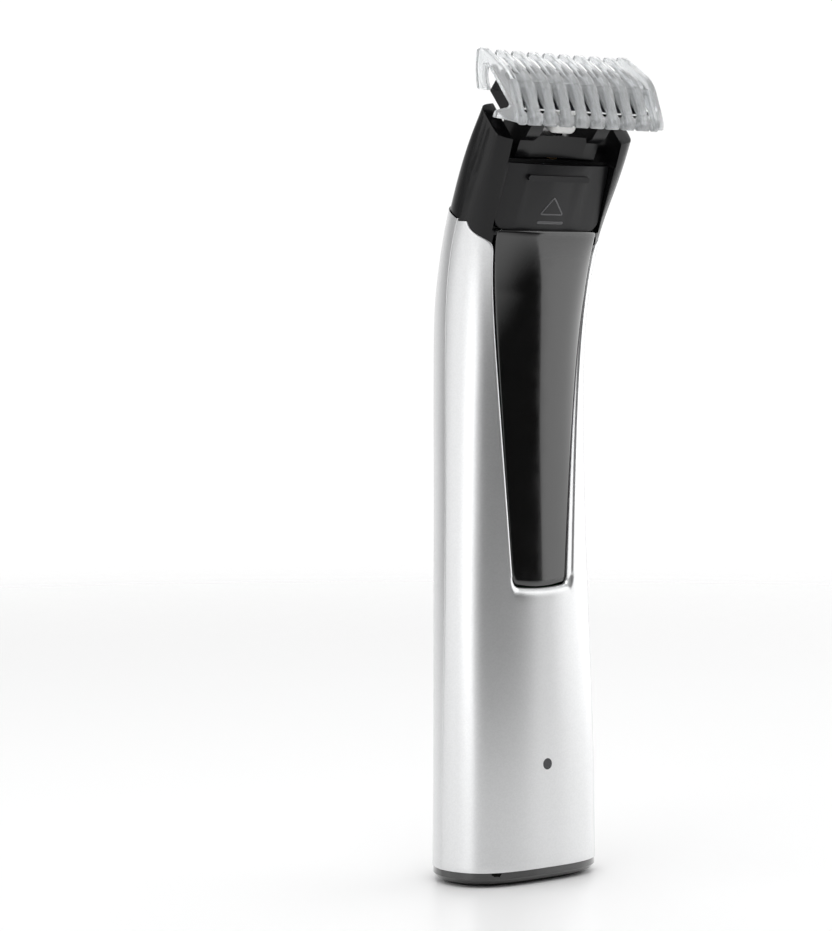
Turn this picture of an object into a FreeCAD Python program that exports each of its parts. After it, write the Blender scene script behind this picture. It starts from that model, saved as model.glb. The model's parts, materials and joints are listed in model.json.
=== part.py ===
"""Cordless beard trimmer, built as an assembly of separate solids.

Frame: millimetres, +Z up, the trimmer stands on its base.  X runs across the
blade, the gloss front faces -Y, the ribbed grip faces +Y, and the head leans
forward to -Y.  The origin is the middle of the resting face of the base.
Each node is written to parts/NODE.step.
"""
import FreeCAD, Part
import math
import os

V = FreeCAD.Vector
XA, YA, ZA = V(1, 0, 0), V(0, 1, 0), V(0, 0, 1)

# ---------------------------------------------------------------- dimensions
# Body sections: height, half width, y of the side parting line, y of the
# front line, y of the rear line, roundness power of the front and of the rear.
SECTIONS = [
    (0.0, 18.7, 0.4, -11.0, 13.2, 3.0, 2.1),
    (25.0, 18.3, 0.6, -10.8, 13.2, 3.0, 2.1),
    (56.0, 17.6, 0.7, -9.9, 14.4, 2.8, 2.1),
    (80.0, 16.9, 1.4, -9.3, 15.0, 2.8, 2.1),
    (97.0, 16.6, 1.8, -9.1, 15.4, 2.9, 2.1),
    (108.0, 16.5, 1.9, -9.3, 15.4, 3.0, 2.1),
    (118.0, 16.7, 1.3, -9.8, 14.1, 3.2, 2.2),
    (127.0, 17.1, -0.4, -10.7, 10.4, 3.6, 2.5),
    (134.0, 17.6, -3.2, -12.0, 6.2, 4.2, 3.1),
    (141.0, 18.0, -6.9, -14.1, 1.5, 5.6, 4.2),
    (148.0, 18.2, -10.7, -16.5, -3.4, 7.4, 6.0),
    (158.0, 18.3, -16.0, -19.6, -10.6, 9.0, 8.0),
]
KEEL = 1.6               # how far each half's widest point lies past the parting line
WALL = 1.6               # silver shell wall
SHELL_BOTTOM = 3.0       # lower edge of the silver shells
FIT = 0.12               # gap round the insert and the grip

FOOT_THICK = 0.8
FOOT_INSET = 2.6
CAP_TOP = 8.0            # the part of the base cap that plugs into the shells

WINDOW_BOTTOM = 60.6     # lower end of the front insert window
GRIP_BOTTOM = 105.1      # lower end of the grip window
INSERT_TOP = 131.2
INSERT_THICK = 2.0
INSERT_INSET = 0.45
GRIP_THICK = 2.4

NECK_TILT = 28.0         # drive axis, degrees forward of vertical
NECK_ORIGIN = V(0, -11.2, 147.2)
SWITCH_TILT = 16.0
SWITCH_ORIGIN = V(0, -10.7, 132.2)   # middle of the lower edge of the switch face
SWITCH_HALF = 13.75
SWITCH_HEIGHT = 13.5
SWITCH_THICK = 1.5
SWITCH_CROWN = 1.0
SWITCH_TRAVEL = 3.0
SWITCH_SIDE = 7.6         # the electrical switch sits beside the drive sleeve
HEAD_TILT = 50.0         # blade face, degrees that its normal leans from vertical
HEAD_ORIGIN = V(0, -18.2, 160.1)     # middle of the outer blade face
ARM_END = -7.8           # arm ends, along the blade normal
ARM_INNER = 14.3

BLADE_HALF = 5.75        # half of the blade's short side, over the tooth tips
BLADE_LENGTH = 31.6
TEETH = 30
TOOTH_PITCH = 0.95
HEAD_HALF = 17.0
TRAY_DEPTH = 4.7
CUTTER_STROKE = 0.7
CRANK_Y = 0.8            # drive axis behind the neck origin, in the neck frame
CRANK_THROW = 0.7
CRANK_PIN_R = 0.6

COMB_TEETH = 10
COMB_HALF = 19.2

LED_Z = 24.2
LED_R = 1.2
LENS_PROUD = 0.04        # the lens stands this far out of the front face
SOCKET_R = 1.8
SOCKET_Y = 5.4           # inlet behind the middle of the base

BATTERY_R, BATTERY_Z, BATTERY_LENGTH, BATTERY_Y = 7.05, 29.0, 49.0, 2.6
BOARD_Y, BOARD_THICK, BOARD_HALF = -6.0, 0.9, 7.0
BOARD_LOW, BOARD_HIGH = 12.0, 112.0
MOTOR_R, MOTOR_LENGTH, MOTOR_TOP = 4.6, 17.0, -21.0   # top is along the drive axis


# ---------------------------------------------------------------- small tools
def frame(origin, tilt):
    """Placement turned about X by tilt degrees at a point."""
    return FreeCAD.Placement(origin, FreeCAD.Rotation(XA, tilt))


NECK = frame(NECK_ORIGIN, NECK_TILT)
SWITCH = frame(SWITCH_ORIGIN, SWITCH_TILT)
HEAD = frame(HEAD_ORIGIN, HEAD_TILT)


def put(shape, placement):
    moved = shape.copy()
    moved.transformShape(placement.toMatrix(), True)
    return moved


def box(x0, x1, y0, y1, z0, z1):
    return Part.makeBox(x1 - x0, y1 - y0, z1 - z0, V(x0, y0, z0))


def cyl(radius, length, at, axis=ZA):
    return Part.makeCylinder(radius, length, at, axis)


def tube(outer, inner, length, at, axis=ZA):
    return cyl(outer, length, at, axis).cut(cyl(inner, length, at, axis))


def polygon(points, along):
    """Prism of a closed outline, pushed along a vector."""
    wire = Part.makePolygon(points + [points[0]])
    return Part.Face(wire).extrude(along)


def side_prism(outline, x0, x1):
    """Prism of a (y, z) outline from x0 to x1."""
    return polygon([V(x0, y, z) for y, z in outline], V(x1 - x0, 0, 0))


def softened(shape, radius, keep=lambda edge: True):
    """Round the edges that a test picks; leave the shape alone where that fails."""
    edges = [e for e in shape.Edges if keep(e)]
    try:
        rounded = shape.makeFillet(radius, edges)
        return rounded if rounded.isValid() and rounded.Volume > 0 else shape
    except Exception:
        return shape


def fuse(*shapes):
    result = shapes[0]
    for shape in shapes[1:]:
        result = result.fuse(shape)
    return result.removeSplitter()


# ---------------------------------------------------------------- body surface
class Line:
    """Natural cubic spline through one column of the section table."""

    def __init__(self, column):
        self.z = [row[0] for row in SECTIONS]
        self.v = [row[column] for row in SECTIONS]
        n = len(self.z)
        self.m = [0.0] * n
        upper, right = [0.0] * n, [0.0] * n
        for i in range(1, n - 1):
            h0, h1 = self.z[i] - self.z[i - 1], self.z[i + 1] - self.z[i]
            slope = (self.v[i + 1] - self.v[i]) / h1 - (self.v[i] - self.v[i - 1]) / h0
            pivot = 2 * (h0 + h1) - h0 * upper[i - 1]
            upper[i] = h1 / pivot
            right[i] = (6 * slope - h0 * right[i - 1]) / pivot
        for i in range(n - 2, 0, -1):
            self.m[i] = right[i] - upper[i] * self.m[i + 1]

    def __call__(self, z):
        i = 0
        while i < len(self.z) - 2 and z > self.z[i + 1]:
            i += 1
        h, d, e = self.z[i + 1] - self.z[i], z - self.z[i], self.z[i + 1] - z
        return ((self.m[i] * e ** 3 + self.m[i + 1] * d ** 3) / (6 * h)
                + (self.v[i] / h - self.m[i] * h / 6) * e
                + (self.v[i + 1] / h - self.m[i + 1] * h / 6) * d)


half_width, parting, front_line, rear_line, front_power, rear_power = [Line(i) for i in range(1, 7)]


def arc_points(z, side, inset=0.0, count=17):
    """Super-ellipse arc of one half at height z, from -X to +X; side is -1 front, +1 rear."""
    a, yc = half_width(z), parting(z)
    depth = (yc - front_line(z)) if side < 0 else (rear_line(z) - yc)
    p = front_power(z) if side < 0 else rear_power(z)
    full = depth + KEEL
    wide = a / (1 - (KEEL / full) ** p) ** (1 / p)
    start = math.atan2(KEEL / full, a / wide)
    points = []
    for i in range(count):
        t = math.pi - start - (math.pi - 2 * start) * i / (count - 1)
        c, s = math.cos(t), math.sin(t)
        r = (abs(c) ** p + abs(s) ** p) ** (-1 / p)
        x = wide * c * r * (a - inset) / a
        y = (full * s * r - KEEL) * (depth - inset) / depth
        points.append(V(x, yc + side * y, z))
    return points


def arc_edge(points):
    """Smooth edge through the points; every arc uses the same parameters, so that
    lofted surfaces stay light."""
    last = len(points) - 1
    curve = Part.BSplineCurve()
    curve.interpolate(Points=points, Parameters=[i / last for i in range(last + 1)])
    return curve.toShape()


def line_edge(a, b):
    return Part.LineSegment(a, b).toShape()


def front_at(x, z):
    """y of the front surface at x, from the arc's points."""
    points = arc_points(z, -1, 0.0, 121)
    return min(points, key=lambda p: abs(p.x - x)).y


def heights(z0, z1, step=6.0):
    count = max(3, round((z1 - z0) / step) + 1)
    return [z0 + (z1 - z0) * i / (count - 1) for i in range(count)]


def half_shell(side, z0, z1, outer, inner):
    """Wall of one half between two insets, open along the parting line."""
    wires = []
    for z in heights(z0, z1):
        out, back = arc_points(z, side, outer), arc_points(z, side, inner)
        wires.append(Part.Wire([arc_edge(out), line_edge(out[-1], back[-1]),
                                arc_edge(back[::-1]), line_edge(back[0], out[0])]))
    return Part.makeLoft(wires, True, False)


def whole_section(z, inset):
    """Closed outline of both halves, with a corner on each parting line."""
    return Part.Wire([arc_edge(arc_points(z, -1, inset)), arc_edge(arc_points(z, 1, inset)[::-1])])


def whole_body(z0, z1, inset=0.0):
    """Both halves in one solid, with the edge along the parting line kept."""
    return Part.makeLoft([whole_section(z, inset) for z in heights(z0, z1)], True, False)


# ---------------------------------------------------------------- windows
FRONT_EDGE = [(7.95, 62.6), (9.6, 88.0), (11.2, 108.0), (13.2, 127.6)]
FRONT_EAR = [(13.75, 129.4), (15.0, 130.4), (16.7, 131.7), (17.6, 134.1), (22.0, 139.0)]
REAR_EDGE = [(7.6, 107.2), (8.7, 114.0), (10.1, 123.5), (12.2, 134.6)]
REAR_EAR = [(12.55, 136.5), (13.3, 137.5), (14.5, 137.5), (16.2, 136.2), (17.6, 134.1), (22.0, 129.0)]


def window(edge, ear, bottom, gap, y0, y1, corner=1.7):
    """Prism of a window, open to the top: a rounded lower end, two long curved
    edges and the ears beside the neck.  gap makes it smaller all round."""
    def right_side():
        low = V(edge[0][0] - gap, y0, edge[0][1])
        base = V(edge[0][0] - corner - gap, y0, bottom + gap)
        knee = V(low.x - 0.3 * corner, y0, bottom + 0.29 * corner + gap)
        long_edge = Part.BSplineCurve()
        long_edge.interpolate(Points=[V(x - gap, y0, z) for x, z in edge])
        rise = Part.BSplineCurve()
        rise.interpolate(Points=[V(x - gap, y0, z) for x, z in [edge[-1]] + ear])
        return [Part.Arc(base, knee, low).toShape(), long_edge.toShape(), rise.toShape()]

    side = right_side()
    mirrored = [e.mirror(V(0, 0, 0), XA) for e in side]
    top = 175.0
    start, end = side[0].Vertexes[0].Point, side[-1].Vertexes[-1].Point
    lines = [
        Part.LineSegment(V(-start.x, y0, start.z), start).toShape(),
        Part.LineSegment(end, V(end.x, y0, top)).toShape(),
        Part.LineSegment(V(end.x, y0, top), V(-end.x, y0, top)).toShape(),
        Part.LineSegment(V(-end.x, y0, top), V(-end.x, y0, end.z)).toShape(),
    ]
    wire = Part.Wire(Part.__sortEdges__(side + mirrored + lines))
    return Part.Face(wire).extrude(V(0, y1 - y0, 0))


def front_window(gap=0.0):
    return window(FRONT_EDGE, FRONT_EAR, WINDOW_BOTTOM, gap, -40, 20)


def rear_window(gap=0.0):
    return window(REAR_EDGE, REAR_EAR, GRIP_BOTTOM, gap, -30, 40)


# ---------------------------------------------------------------- handle shells
SHELL_TOP = 140.0
SCREW_PLACES = [(-13.4, 15.0), (13.4, 15.0), (-12.7, 98.0), (12.7, 98.0)]
SCREW_R = 0.9
BOSS_R = 1.8
BOSS_INSET = 0.9          # screw posts start inside the front wall


def shell_front():
    shell = half_shell(-1, SHELL_BOTTOM, SHELL_TOP, 0.0, WALL).cut(front_window())
    shell = shell.cut(cyl(LED_R + 0.1, 12, V(0, -16, LED_Z), YA))
    for x, z in SCREW_PLACES:
        y1 = parting(z) - 0.2
        y0 = front_at(abs(x) + BOSS_R, z) + BOSS_INSET
        post = cyl(BOSS_R, y1 - y0, V(x, y0, z), YA)
        shell = shell.fuse(post).cut(cyl(SCREW_R - 0.1, 4.6, V(x, y1 - 4.6, z), YA))
    return shell.removeSplitter()


def shell_rear():
    return half_shell(1, SHELL_BOTTOM, SHELL_TOP, 0.0, WALL).cut(rear_window())


def insert_zone(outer, inner, gap):
    plate = half_shell(-1, WINDOW_BOTTOM - 2, 134, outer, inner).common(front_window(gap))
    return plate.common(box(-13.6 + gap, 13.6 - gap, -30, 3, WINDOW_BOTTOM, INSERT_TOP))


def front_insert():
    return insert_zone(INSERT_INSET, INSERT_INSET + INSERT_THICK, FIT)


def grip_zone(outer, inner, gap, top):
    zone = half_shell(1, GRIP_BOTTOM - 3, 157, outer, inner).common(rear_window(gap))
    return zone.common(half_grip_limit(gap)).cut(put(box(-30, 30, -40, 40, top, 60), NECK))


def half_grip_limit(gap):
    """The grip widens evenly from the window's lower end to the cradle."""
    rise = [(12.2 - gap, 134.6), (13.4 - gap, 151.5)]
    points = [V(0, -30, GRIP_BOTTOM), V(12.2 - gap, -30, GRIP_BOTTOM), V(rise[0][0], -30, rise[0][1]),
              V(rise[1][0], -30, rise[1][1]), V(0, -30, rise[1][1])]
    half = polygon(points, V(0, 60, 0))
    return half.fuse(half.mirror(V(0, 0, 0), XA))


def thumb_grip():
    return grip_zone(0.1, 0.1 + GRIP_THICK, FIT, 0.0)


# ---------------------------------------------------------------- neck and switch
DECK = 3.2                # thickness of the cradle floor
SOCKET_X = 8.6            # cartridge posts
POST_R = 1.5
POST_TOP, POST_LENGTH = 0.6, 3.4
NECK_BOTTOM = 121.0       # the skirt inside the shells starts here
NECK_INSET = 0.25
SKIRT_INSET = 3.3
DRIVE_BORE_R = 2.25
FAR = 40.0                # reach of the cutting blocks, past everything


def neck_frame(taken):
    """Black fork: a skirt inside the shells, a cradle floor and two arms."""
    body = whole_body(NECK_BOTTOM - 3, 158, NECK_INSET)
    body = body.cut(put(box(-FAR, FAR, -FAR, FAR, ARM_END, FAR), HEAD))
    skirt_room = whole_body(110, 158, SKIRT_INSET)
    skirt_room = skirt_room.cut(put(box(-FAR, FAR, -FAR, FAR, -DECK, 60), NECK))
    body = body.cut(skirt_room)
    body = body.cut(put(box(-ARM_INNER, ARM_INNER, -FAR, FAR, 0, FAR), NECK))
    body = body.cut(box(-FAR, FAR, -FAR, FAR, 100, NECK_BOTTOM))
    pocket = box(-SWITCH_HALF - 0.3, SWITCH_HALF + 0.3, -8, SWITCH_THICK + 0.35,
                 -0.3, SWITCH_HEIGHT + SWITCH_TRAVEL + 6)
    body = body.cut(put(pocket, SWITCH))
    window_slot = box(SWITCH_SIDE - 3.3, SWITCH_SIDE + 3.3, SWITCH_THICK, SWITCH_THICK + 4, 2.0, 10.2)
    body = body.cut(put(window_slot, SWITCH))
    body = body.cut(put(cyl(DRIVE_BORE_R, 12, V(0, CRANK_Y, -DECK - 4)), NECK))
    for x in (-SOCKET_X, SOCKET_X):
        body = body.cut(put(cyl(POST_R + 0.1, 12, V(x, CRANK_Y, -DECK - 4)), NECK))
    body = body.cut(insert_zone(-0.6, INSERT_INSET + INSERT_THICK + 0.03, 0.0))
    for shape in taken:
        body = body.cut(shape)
    solids = sorted(body.Solids, key=lambda s: s.Volume)
    return solids[-1]


def switch_plate():
    """Thumb slide: crowned plate with rounded lower corners and a raised bar."""
    h, w = SWITCH_HEIGHT, SWITCH_HALF
    front = Part.Arc(V(-w, SWITCH_CROWN, 0), V(0, 0, 0), V(w, SWITCH_CROWN, 0)).toShape()
    back = Part.Arc(V(w, SWITCH_THICK + 0.2, 0), V(0, SWITCH_THICK, 0),
                    V(-w, SWITCH_THICK + 0.2, 0)).toShape()
    ends = [Part.LineSegment(V(x, SWITCH_CROWN, 0), V(x, SWITCH_THICK + 0.2, 0)).toShape() for x in (-w, w)]
    profile = Part.Wire(Part.__sortEdges__([front, back] + ends))
    plate = Part.Face(profile).extrude(V(0, 0, h))
    corner = box(-w, w, -5, 5, 0, h + 5)
    corner = corner.makeFillet(2.6, [e for e in corner.Edges if e.BoundBox.ZMax < 0.01
                                     and abs(abs(e.CenterOfMass.x) - w) < 0.01])
    plate = plate.common(corner)
    bar = box(-8.0, 8.0, -0.45, 0.6, 10.2, 11.4)
    bar = softened(bar, 0.55, lambda e: abs(abs(e.CenterOfMass.x) - 8.0) < 0.01
                   and abs(e.CenterOfMass.z - 10.8) > 0.3)
    return put(fuse(plate, bar), SWITCH)


def switch_carrier():
    """Inner foot of the slide, reaching through the slot to the switch lever."""
    x = SWITCH_SIDE
    foot = box(x - 2.6, x + 2.6, SWITCH_THICK + 0.12, SWITCH_THICK + 3.6, 2.4, 6.6)
    foot = foot.cut(box(x - 1.0, x + 1.0, SWITCH_THICK + 1.6, SWITCH_THICK + 4, 3.7, 5.3))
    return put(foot, SWITCH)


def slide_switch():
    """Electrical slide switch on its own small board behind the thumb slide."""
    base = SWITCH_THICK + 4.0
    x = SWITCH_SIDE
    body = box(x - 3.4, x + 3.4, base, base + 2.2, 2.0, 11.0)
    return put(body.cut(box(x - 1.3, x + 1.3, base - 1, base + 1.0, 3.2, 9.4)), SWITCH)


def switch_lever():
    base = SWITCH_THICK
    return put(box(SWITCH_SIDE - 0.8, SWITCH_SIDE + 0.8, base + 1.75, base + 4.75, 3.9, 5.1), SWITCH)


# ---------------------------------------------------------------- drive train
def on_drive(shape):
    """Place a shape built round +Z on the drive axis, with z = 0 at the cradle floor."""
    return put(shape, FreeCAD.Placement(NECK.multVec(V(0, CRANK_Y, 0)), FreeCAD.Rotation(XA, NECK_TILT)))


def motor_can():
    low = MOTOR_TOP - MOTOR_LENGTH
    can = tube(MOTOR_R, MOTOR_R - 0.5, MOTOR_LENGTH, V(0, 0, low))
    lid = tube(MOTOR_R, 1.6, 0.6, V(0, 0, MOTOR_TOP - 0.6))
    return on_drive(fuse(can, lid))


def motor_bush():
    neck = tube(1.58, 0.8, 1.6, V(0, 0, MOTOR_TOP - 0.6))
    return on_drive(neck)


def motor_end_bell():
    low = MOTOR_TOP - MOTOR_LENGTH
    bell = cyl(MOTOR_R - 0.52, 1.6, V(0, 0, low)).fuse(tube(2.2, 0.8, 1.0, V(0, 0, low - 1.0)))
    return on_drive(bell.cut(cyl(0.8, 4, V(0, 0, low - 1.5))).removeSplitter())


def motor_magnets():
    low = MOTOR_TOP - MOTOR_LENGTH + 3
    ring = tube(MOTOR_R - 0.52, MOTOR_R - 1.5, 10, V(0, 0, low))
    return on_drive(ring.cut(box(-8, 8, -1.2, 1.2, low - 1, low + 12)))


def motor_armature():
    low = MOTOR_TOP - MOTOR_LENGTH + 3.4
    core = tube(MOTOR_R - 1.9, 0.76, 8.6, V(0, 0, low))
    for k in range(3):
        slot = box(-0.4, 0.4, 1.8, 6, low - 1, low + 12)
        slot.rotate(V(0, 0, 0), ZA, 60 + 120 * k)
        core = core.cut(slot)
    return on_drive(core)


def motor_shaft():
    low = MOTOR_TOP - MOTOR_LENGTH - 1.6
    return on_drive(cyl(0.75, 7.0 + MOTOR_LENGTH, V(0, 0, low)))


def drive_crank():
    """Long coupling sleeve from the motor shaft to the crank disc, with the offset pin."""
    sleeve = cyl(1.7, -MOTOR_TOP - 3.4, V(0, 0, MOTOR_TOP + 1.8))
    disc = cyl(1.9, 1.6, V(0, 0, -1.6))
    crank = fuse(sleeve, disc).cut(cyl(0.76, 4.2, V(0, 0, MOTOR_TOP + 1.2)))
    return on_drive(crank.cut(cyl(CRANK_PIN_R, 3, V(CRANK_THROW, 0, -0.6))))


def crank_pin():
    return on_drive(cyl(CRANK_PIN_R, 8.6, V(CRANK_THROW, 0, -0.6)))


def drive_seal():
    """Soft ring that keeps clippings out of the drive bore."""
    return on_drive(tube(2.2, 2.0, 2.6, V(0, 0, -3.0)))


def motor_clamp():
    """Saddle that holds the motor under the neck; a band with two ears."""
    low = MOTOR_TOP - 15.0
    band = tube(MOTOR_R + 1.0, MOTOR_R + 0.02, 4.0, V(0, 0, low))
    ears = box(-10.6, 10.6, -1.2, 1.2, low, low + 4).cut(cyl(MOTOR_R + 0.5, 8, V(0, 0, low - 2)))
    clamp = fuse(band, ears)
    for x in (-9.2, 9.2):
        clamp = clamp.cut(cyl(0.8, 8, V(x, -4, low + 2), YA))
    return on_drive(clamp)


def clamp_screws():
    low = MOTOR_TOP - 13.0
    screws = [on_drive(cyl(0.78, 3.4, V(x, -1.6, low), YA).fuse(cyl(1.5, 0.8, V(x, -2.4, low), YA)))
              for x in (-9.2, 9.2)]
    return Part.makeCompound(screws)


# ---------------------------------------------------------------- power
def battery_cell():
    can = cyl(BATTERY_R, BATTERY_LENGTH, V(0, BATTERY_Y, BATTERY_Z))
    return softened(can, 0.6)


def battery_cradle():
    """Half-round trough behind the cell, with an end wall at each end."""
    low, high = BATTERY_Z - 2.2, BATTERY_Z + BATTERY_LENGTH + 2.2
    trough = tube(BATTERY_R + 1.3, BATTERY_R + 0.1, high - low, V(0, BATTERY_Y, low))
    trough = trough.cut(box(-12, 12, BATTERY_Y - 20, BATTERY_Y, low - 1, high + 1))
    for z in (low, high - 1.2):
        plate = cyl(BATTERY_R + 1.3, 1.2, V(0, BATTERY_Y, z))
        trough = trough.fuse(plate.cut(box(-12, 12, BATTERY_Y - 20, BATTERY_Y - 5, z - 1, z + 3)))
    return trough.removeSplitter()


def battery_tabs():
    low, high = BATTERY_Z - 0.5, BATTERY_Z + BATTERY_LENGTH + 0.1
    lower = box(-2.2, 2.2, BATTERY_Y - 7.6, BATTERY_Y + 3, low, low + 0.4)
    upper = box(-2.2, 2.2, BATTERY_Y - 7.6, BATTERY_Y + 3, high, high + 0.4)
    return Part.makeCompound([lower, upper])


def circuit_board():
    board = box(-BOARD_HALF, BOARD_HALF, BOARD_Y, BOARD_Y + BOARD_THICK, BOARD_LOW, BOARD_HIGH)
    for z in (BATTERY_Z - 0.6, BATTERY_Z + BATTERY_LENGTH):
        board = board.cut(box(-2.4, 2.4, BOARD_Y + BOARD_THICK - 0.3, BOARD_Y + 3, z, z + 0.7))
    return board


def board_components():
    """Charger chip, two capacitors and a driver chip on the rear face of the board."""
    y = BOARD_Y + BOARD_THICK
    chips = [box(-2.5, 2.5, y, y + 1.2, 90, 95), box(-4.6, -1.6, y, y + 1.0, 99, 102),
             box(-2.0, 2.0, y, y + 1.1, 17.0, 21.0)]
    chips += [cyl(1.6, 3.0, V(3.2, y, 103.5), YA), cyl(1.6, 3.0, V(-3.2, y, 97), YA)]
    return Part.makeCompound(chips)


def status_led():
    return box(-0.8, 0.8, BOARD_Y - 0.7, BOARD_Y, LED_Z - 0.8, LED_Z + 0.8)


def led_lens():
    """Clear light pipe from the status lamp to the front face."""
    face = front_line(LED_Z) - LENS_PROUD
    return cyl(LED_R, BOARD_Y - 0.8 - face, V(0, face, LED_Z), YA)


def charge_socket():
    """Round low-voltage inlet, open at the base, with a centre contact."""
    body = box(-4.2, 4.2, SOCKET_Y - 4.2, SOCKET_Y + 4.2, FOOT_THICK + 0.4, 11.5)
    return body.cut(cyl(SOCKET_R, 8.0, V(0, SOCKET_Y, FOOT_THICK))).cut(socket_pin())


def socket_pin():
    return cyl(0.5, 7.6, V(0, SOCKET_Y, FOOT_THICK + 1.4))


# ---------------------------------------------------------------- base
def base_cap():
    """Gloss cap: a chamfered rim under the shells and a plug inside them."""
    rim = Part.makeLoft([whole_section(FOOT_THICK, 0.9), whole_section(1.7, 0.15)], True, True)
    rim = rim.fuse(whole_body(1.7, SHELL_BOTTOM - 0.02, 0.15))
    plug = whole_body(SHELL_BOTTOM - 0.5, CAP_TOP, WALL + 0.12)
    room = whole_body(SHELL_BOTTOM, CAP_TOP + 1, WALL + 1.4)
    cap = rim.fuse(plug).cut(room)
    cap = cap.cut(box(-4.25, 4.25, SOCKET_Y - 4.25, SOCKET_Y + 4.25, FOOT_THICK + 0.4, 12))
    cap = cap.cut(cyl(SOCKET_R + 1.0, 6, V(0, SOCKET_Y, -1)))
    return cap.cut(base_seal())


def base_foot():
    """Rubber sole that the trimmer stands on."""
    sole = Part.makeLoft([whole_section(0.0, FOOT_INSET), whole_section(FOOT_THICK, FOOT_INSET)], True, True)
    return sole.cut(cyl(SOCKET_R + 1.2, 3, V(0, SOCKET_Y, -1)))


def base_seal():
    """Cord ring between the cap plug and the shells."""
    outer = whole_body(5.2, 6.2, WALL + 0.02)
    return outer.cut(whole_body(5.0, 6.4, WALL + 0.62))


def base_clips():
    """Two steel clips that hold the cap to the chassis."""
    clips = [box(x - 1.5, x + 1.5, 0.2, 0.7, SHELL_BOTTOM + 0.4, CAP_TOP + 5) for x in (-9.5, 9.5)]
    return Part.makeCompound(clips)


def chassis():
    """Inner spine: a flat rib frame between the two shells that carries board and cell."""
    spine = box(-12.8, 12.8, -4.2, -3.0, 12.0, 108.0)
    spine = spine.cut(box(-6.2, 6.2, -6, 0, 26.0, 82.0)).cut(box(-5.0, 5.0, -6, 0, 88.0, 106.0))
    spine = spine.cut(box(-4.8, 4.8, -6, 0, 10.0, 22.5))
    for x, z in SCREW_PLACES:
        spine = spine.cut(cyl(BOSS_R + 0.1, 6, V(x, -8, z), YA))
    return spine


def case_screws():
    """Four screws that draw the shell halves together."""
    screws = []
    for x, z in SCREW_PLACES:
        y = parting(z) - 4.0
        shank = cyl(SCREW_R - 0.12, 4.4, V(x, y, z), YA)
        head = cyl(1.7, 1.2, V(x, y + 4.4, z), YA)
        recess = box(x - 1.1, x + 1.1, y + 5.1, y + 6, z - 0.2, z + 0.2)
        cross = box(x - 0.2, x + 0.2, y + 5.1, y + 6, z - 1.1, z + 1.1)
        screws.append(shank.fuse(head).cut(recess).cut(cross).removeSplitter())
    return Part.makeCompound(screws)


def wire_run(points, radius):
    """Insulated lead: straight runs with round joints."""
    lead = None
    for a, b in zip(points, points[1:]):
        run = cyl(radius, (b - a).Length, a, b - a)
        run = run.fuse(Part.makeSphere(radius, b)) if b != points[-1] else run
        lead = run if lead is None else lead.fuse(run)
    return lead


def motor_leads():
    start = BOARD_HIGH - 2.0
    leads = []
    for x in (-3.4, 3.4):
        end = NECK.multVec(V(x, CRANK_Y, MOTOR_TOP - MOTOR_LENGTH - 0.5))
        points = [V(x, BOARD_Y + BOARD_THICK + 0.4, start), V(x, 0.5, start + 0.2), end]
        leads.append(wire_run(points, 0.4))
    return Part.makeCompound(leads)


# ---------------------------------------------------------------- cutting head
CHEEK_IN, CHEEK_OUT = 7.0, 10.4
BRIDGE_TOP, BRIDGE_FRONT, BRIDGE_REAR = 4.9, -1.4, 4.9
CHEEK = [(-1.4, 0.2), (4.9, 0.2), (5.2, 6.0), (3.6, 13.0), (-3.4, 8.6), (-2.6, 5.2), (-1.4, 3.8)]
YOKE_HALF = 3.2
SLOT_HALF_X = CRANK_THROW + CRANK_PIN_R + CUTTER_STROKE + 0.12
SLOT_HALF_Y = CRANK_THROW + CRANK_PIN_R + 0.12


def tray():
    """Long black carrier behind the blade, hollow at the back."""
    outline = [(3.7, -0.95), (3.1, -TRAY_DEPTH), (-3.4, -TRAY_DEPTH), (-4.1, -0.95)]
    body = side_prism(outline, -16.1, 16.1)
    inside = side_prism([(2.9, -2.0), (2.3, -TRAY_DEPTH - 1), (-2.6, -TRAY_DEPTH - 1), (-3.2, -2.0)],
                        -15.2, 15.2)
    body = body.cut(inside)
    body = body.cut(box(-4.6, 4.6, -2.2, 2.2, -3, 0))
    body = body.cut(box(-4.6, 4.6, -5, 5, -TRAY_DEPTH - 1, -1.95))
    for x in (-CHEEK_IN - 1.7, CHEEK_IN + 1.7):
        body = body.fuse(box(x - 1.7, x + 1.7, -3.0, 2.8, -TRAY_DEPTH, -1.6))
    return put(body, HEAD)


def cartridge_body():
    """Tray, two cheeks and the hollowed bridge that stands in the cradle."""
    cheeks = []
    for sign in (-1, 1):
        x0, x1 = sorted((sign * CHEEK_IN, sign * CHEEK_OUT))
        cheeks.append(put(side_prism(CHEEK, x0, x1), NECK))
    bridge = box(-CHEEK_IN, CHEEK_IN, BRIDGE_FRONT, BRIDGE_REAR, 0.2, BRIDGE_TOP)
    for y, depth in ((BRIDGE_FRONT, -0.3), (BRIDGE_REAR, 0.75)):
        radius = (CHEEK_IN ** 2 + depth ** 2) / (2 * abs(depth))
        bridge = bridge.cut(cyl(radius, 9, V(0, y - depth + math.copysign(radius, depth), -1)))
    bridge = bridge.cut(cyl(CRANK_THROW + CRANK_PIN_R + 0.2, 12, V(0, CRANK_Y, -2)))
    body = tray()
    cover = put(box(-30, 30, -20, 20, -1.9, 20), HEAD)
    for piece in cheeks:
        body = body.fuse(piece.cut(cover))
    body = body.fuse(put(bridge, NECK))
    for x in (-SOCKET_X, SOCKET_X):
        body = body.fuse(put(cyl(POST_R, POST_LENGTH, V(x, CRANK_Y, POST_TOP - POST_LENGTH)), NECK))
    for part in (cutter_springs(), head_screws()):
        body = body.cut(part)
    return body.removeSplitter()


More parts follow.
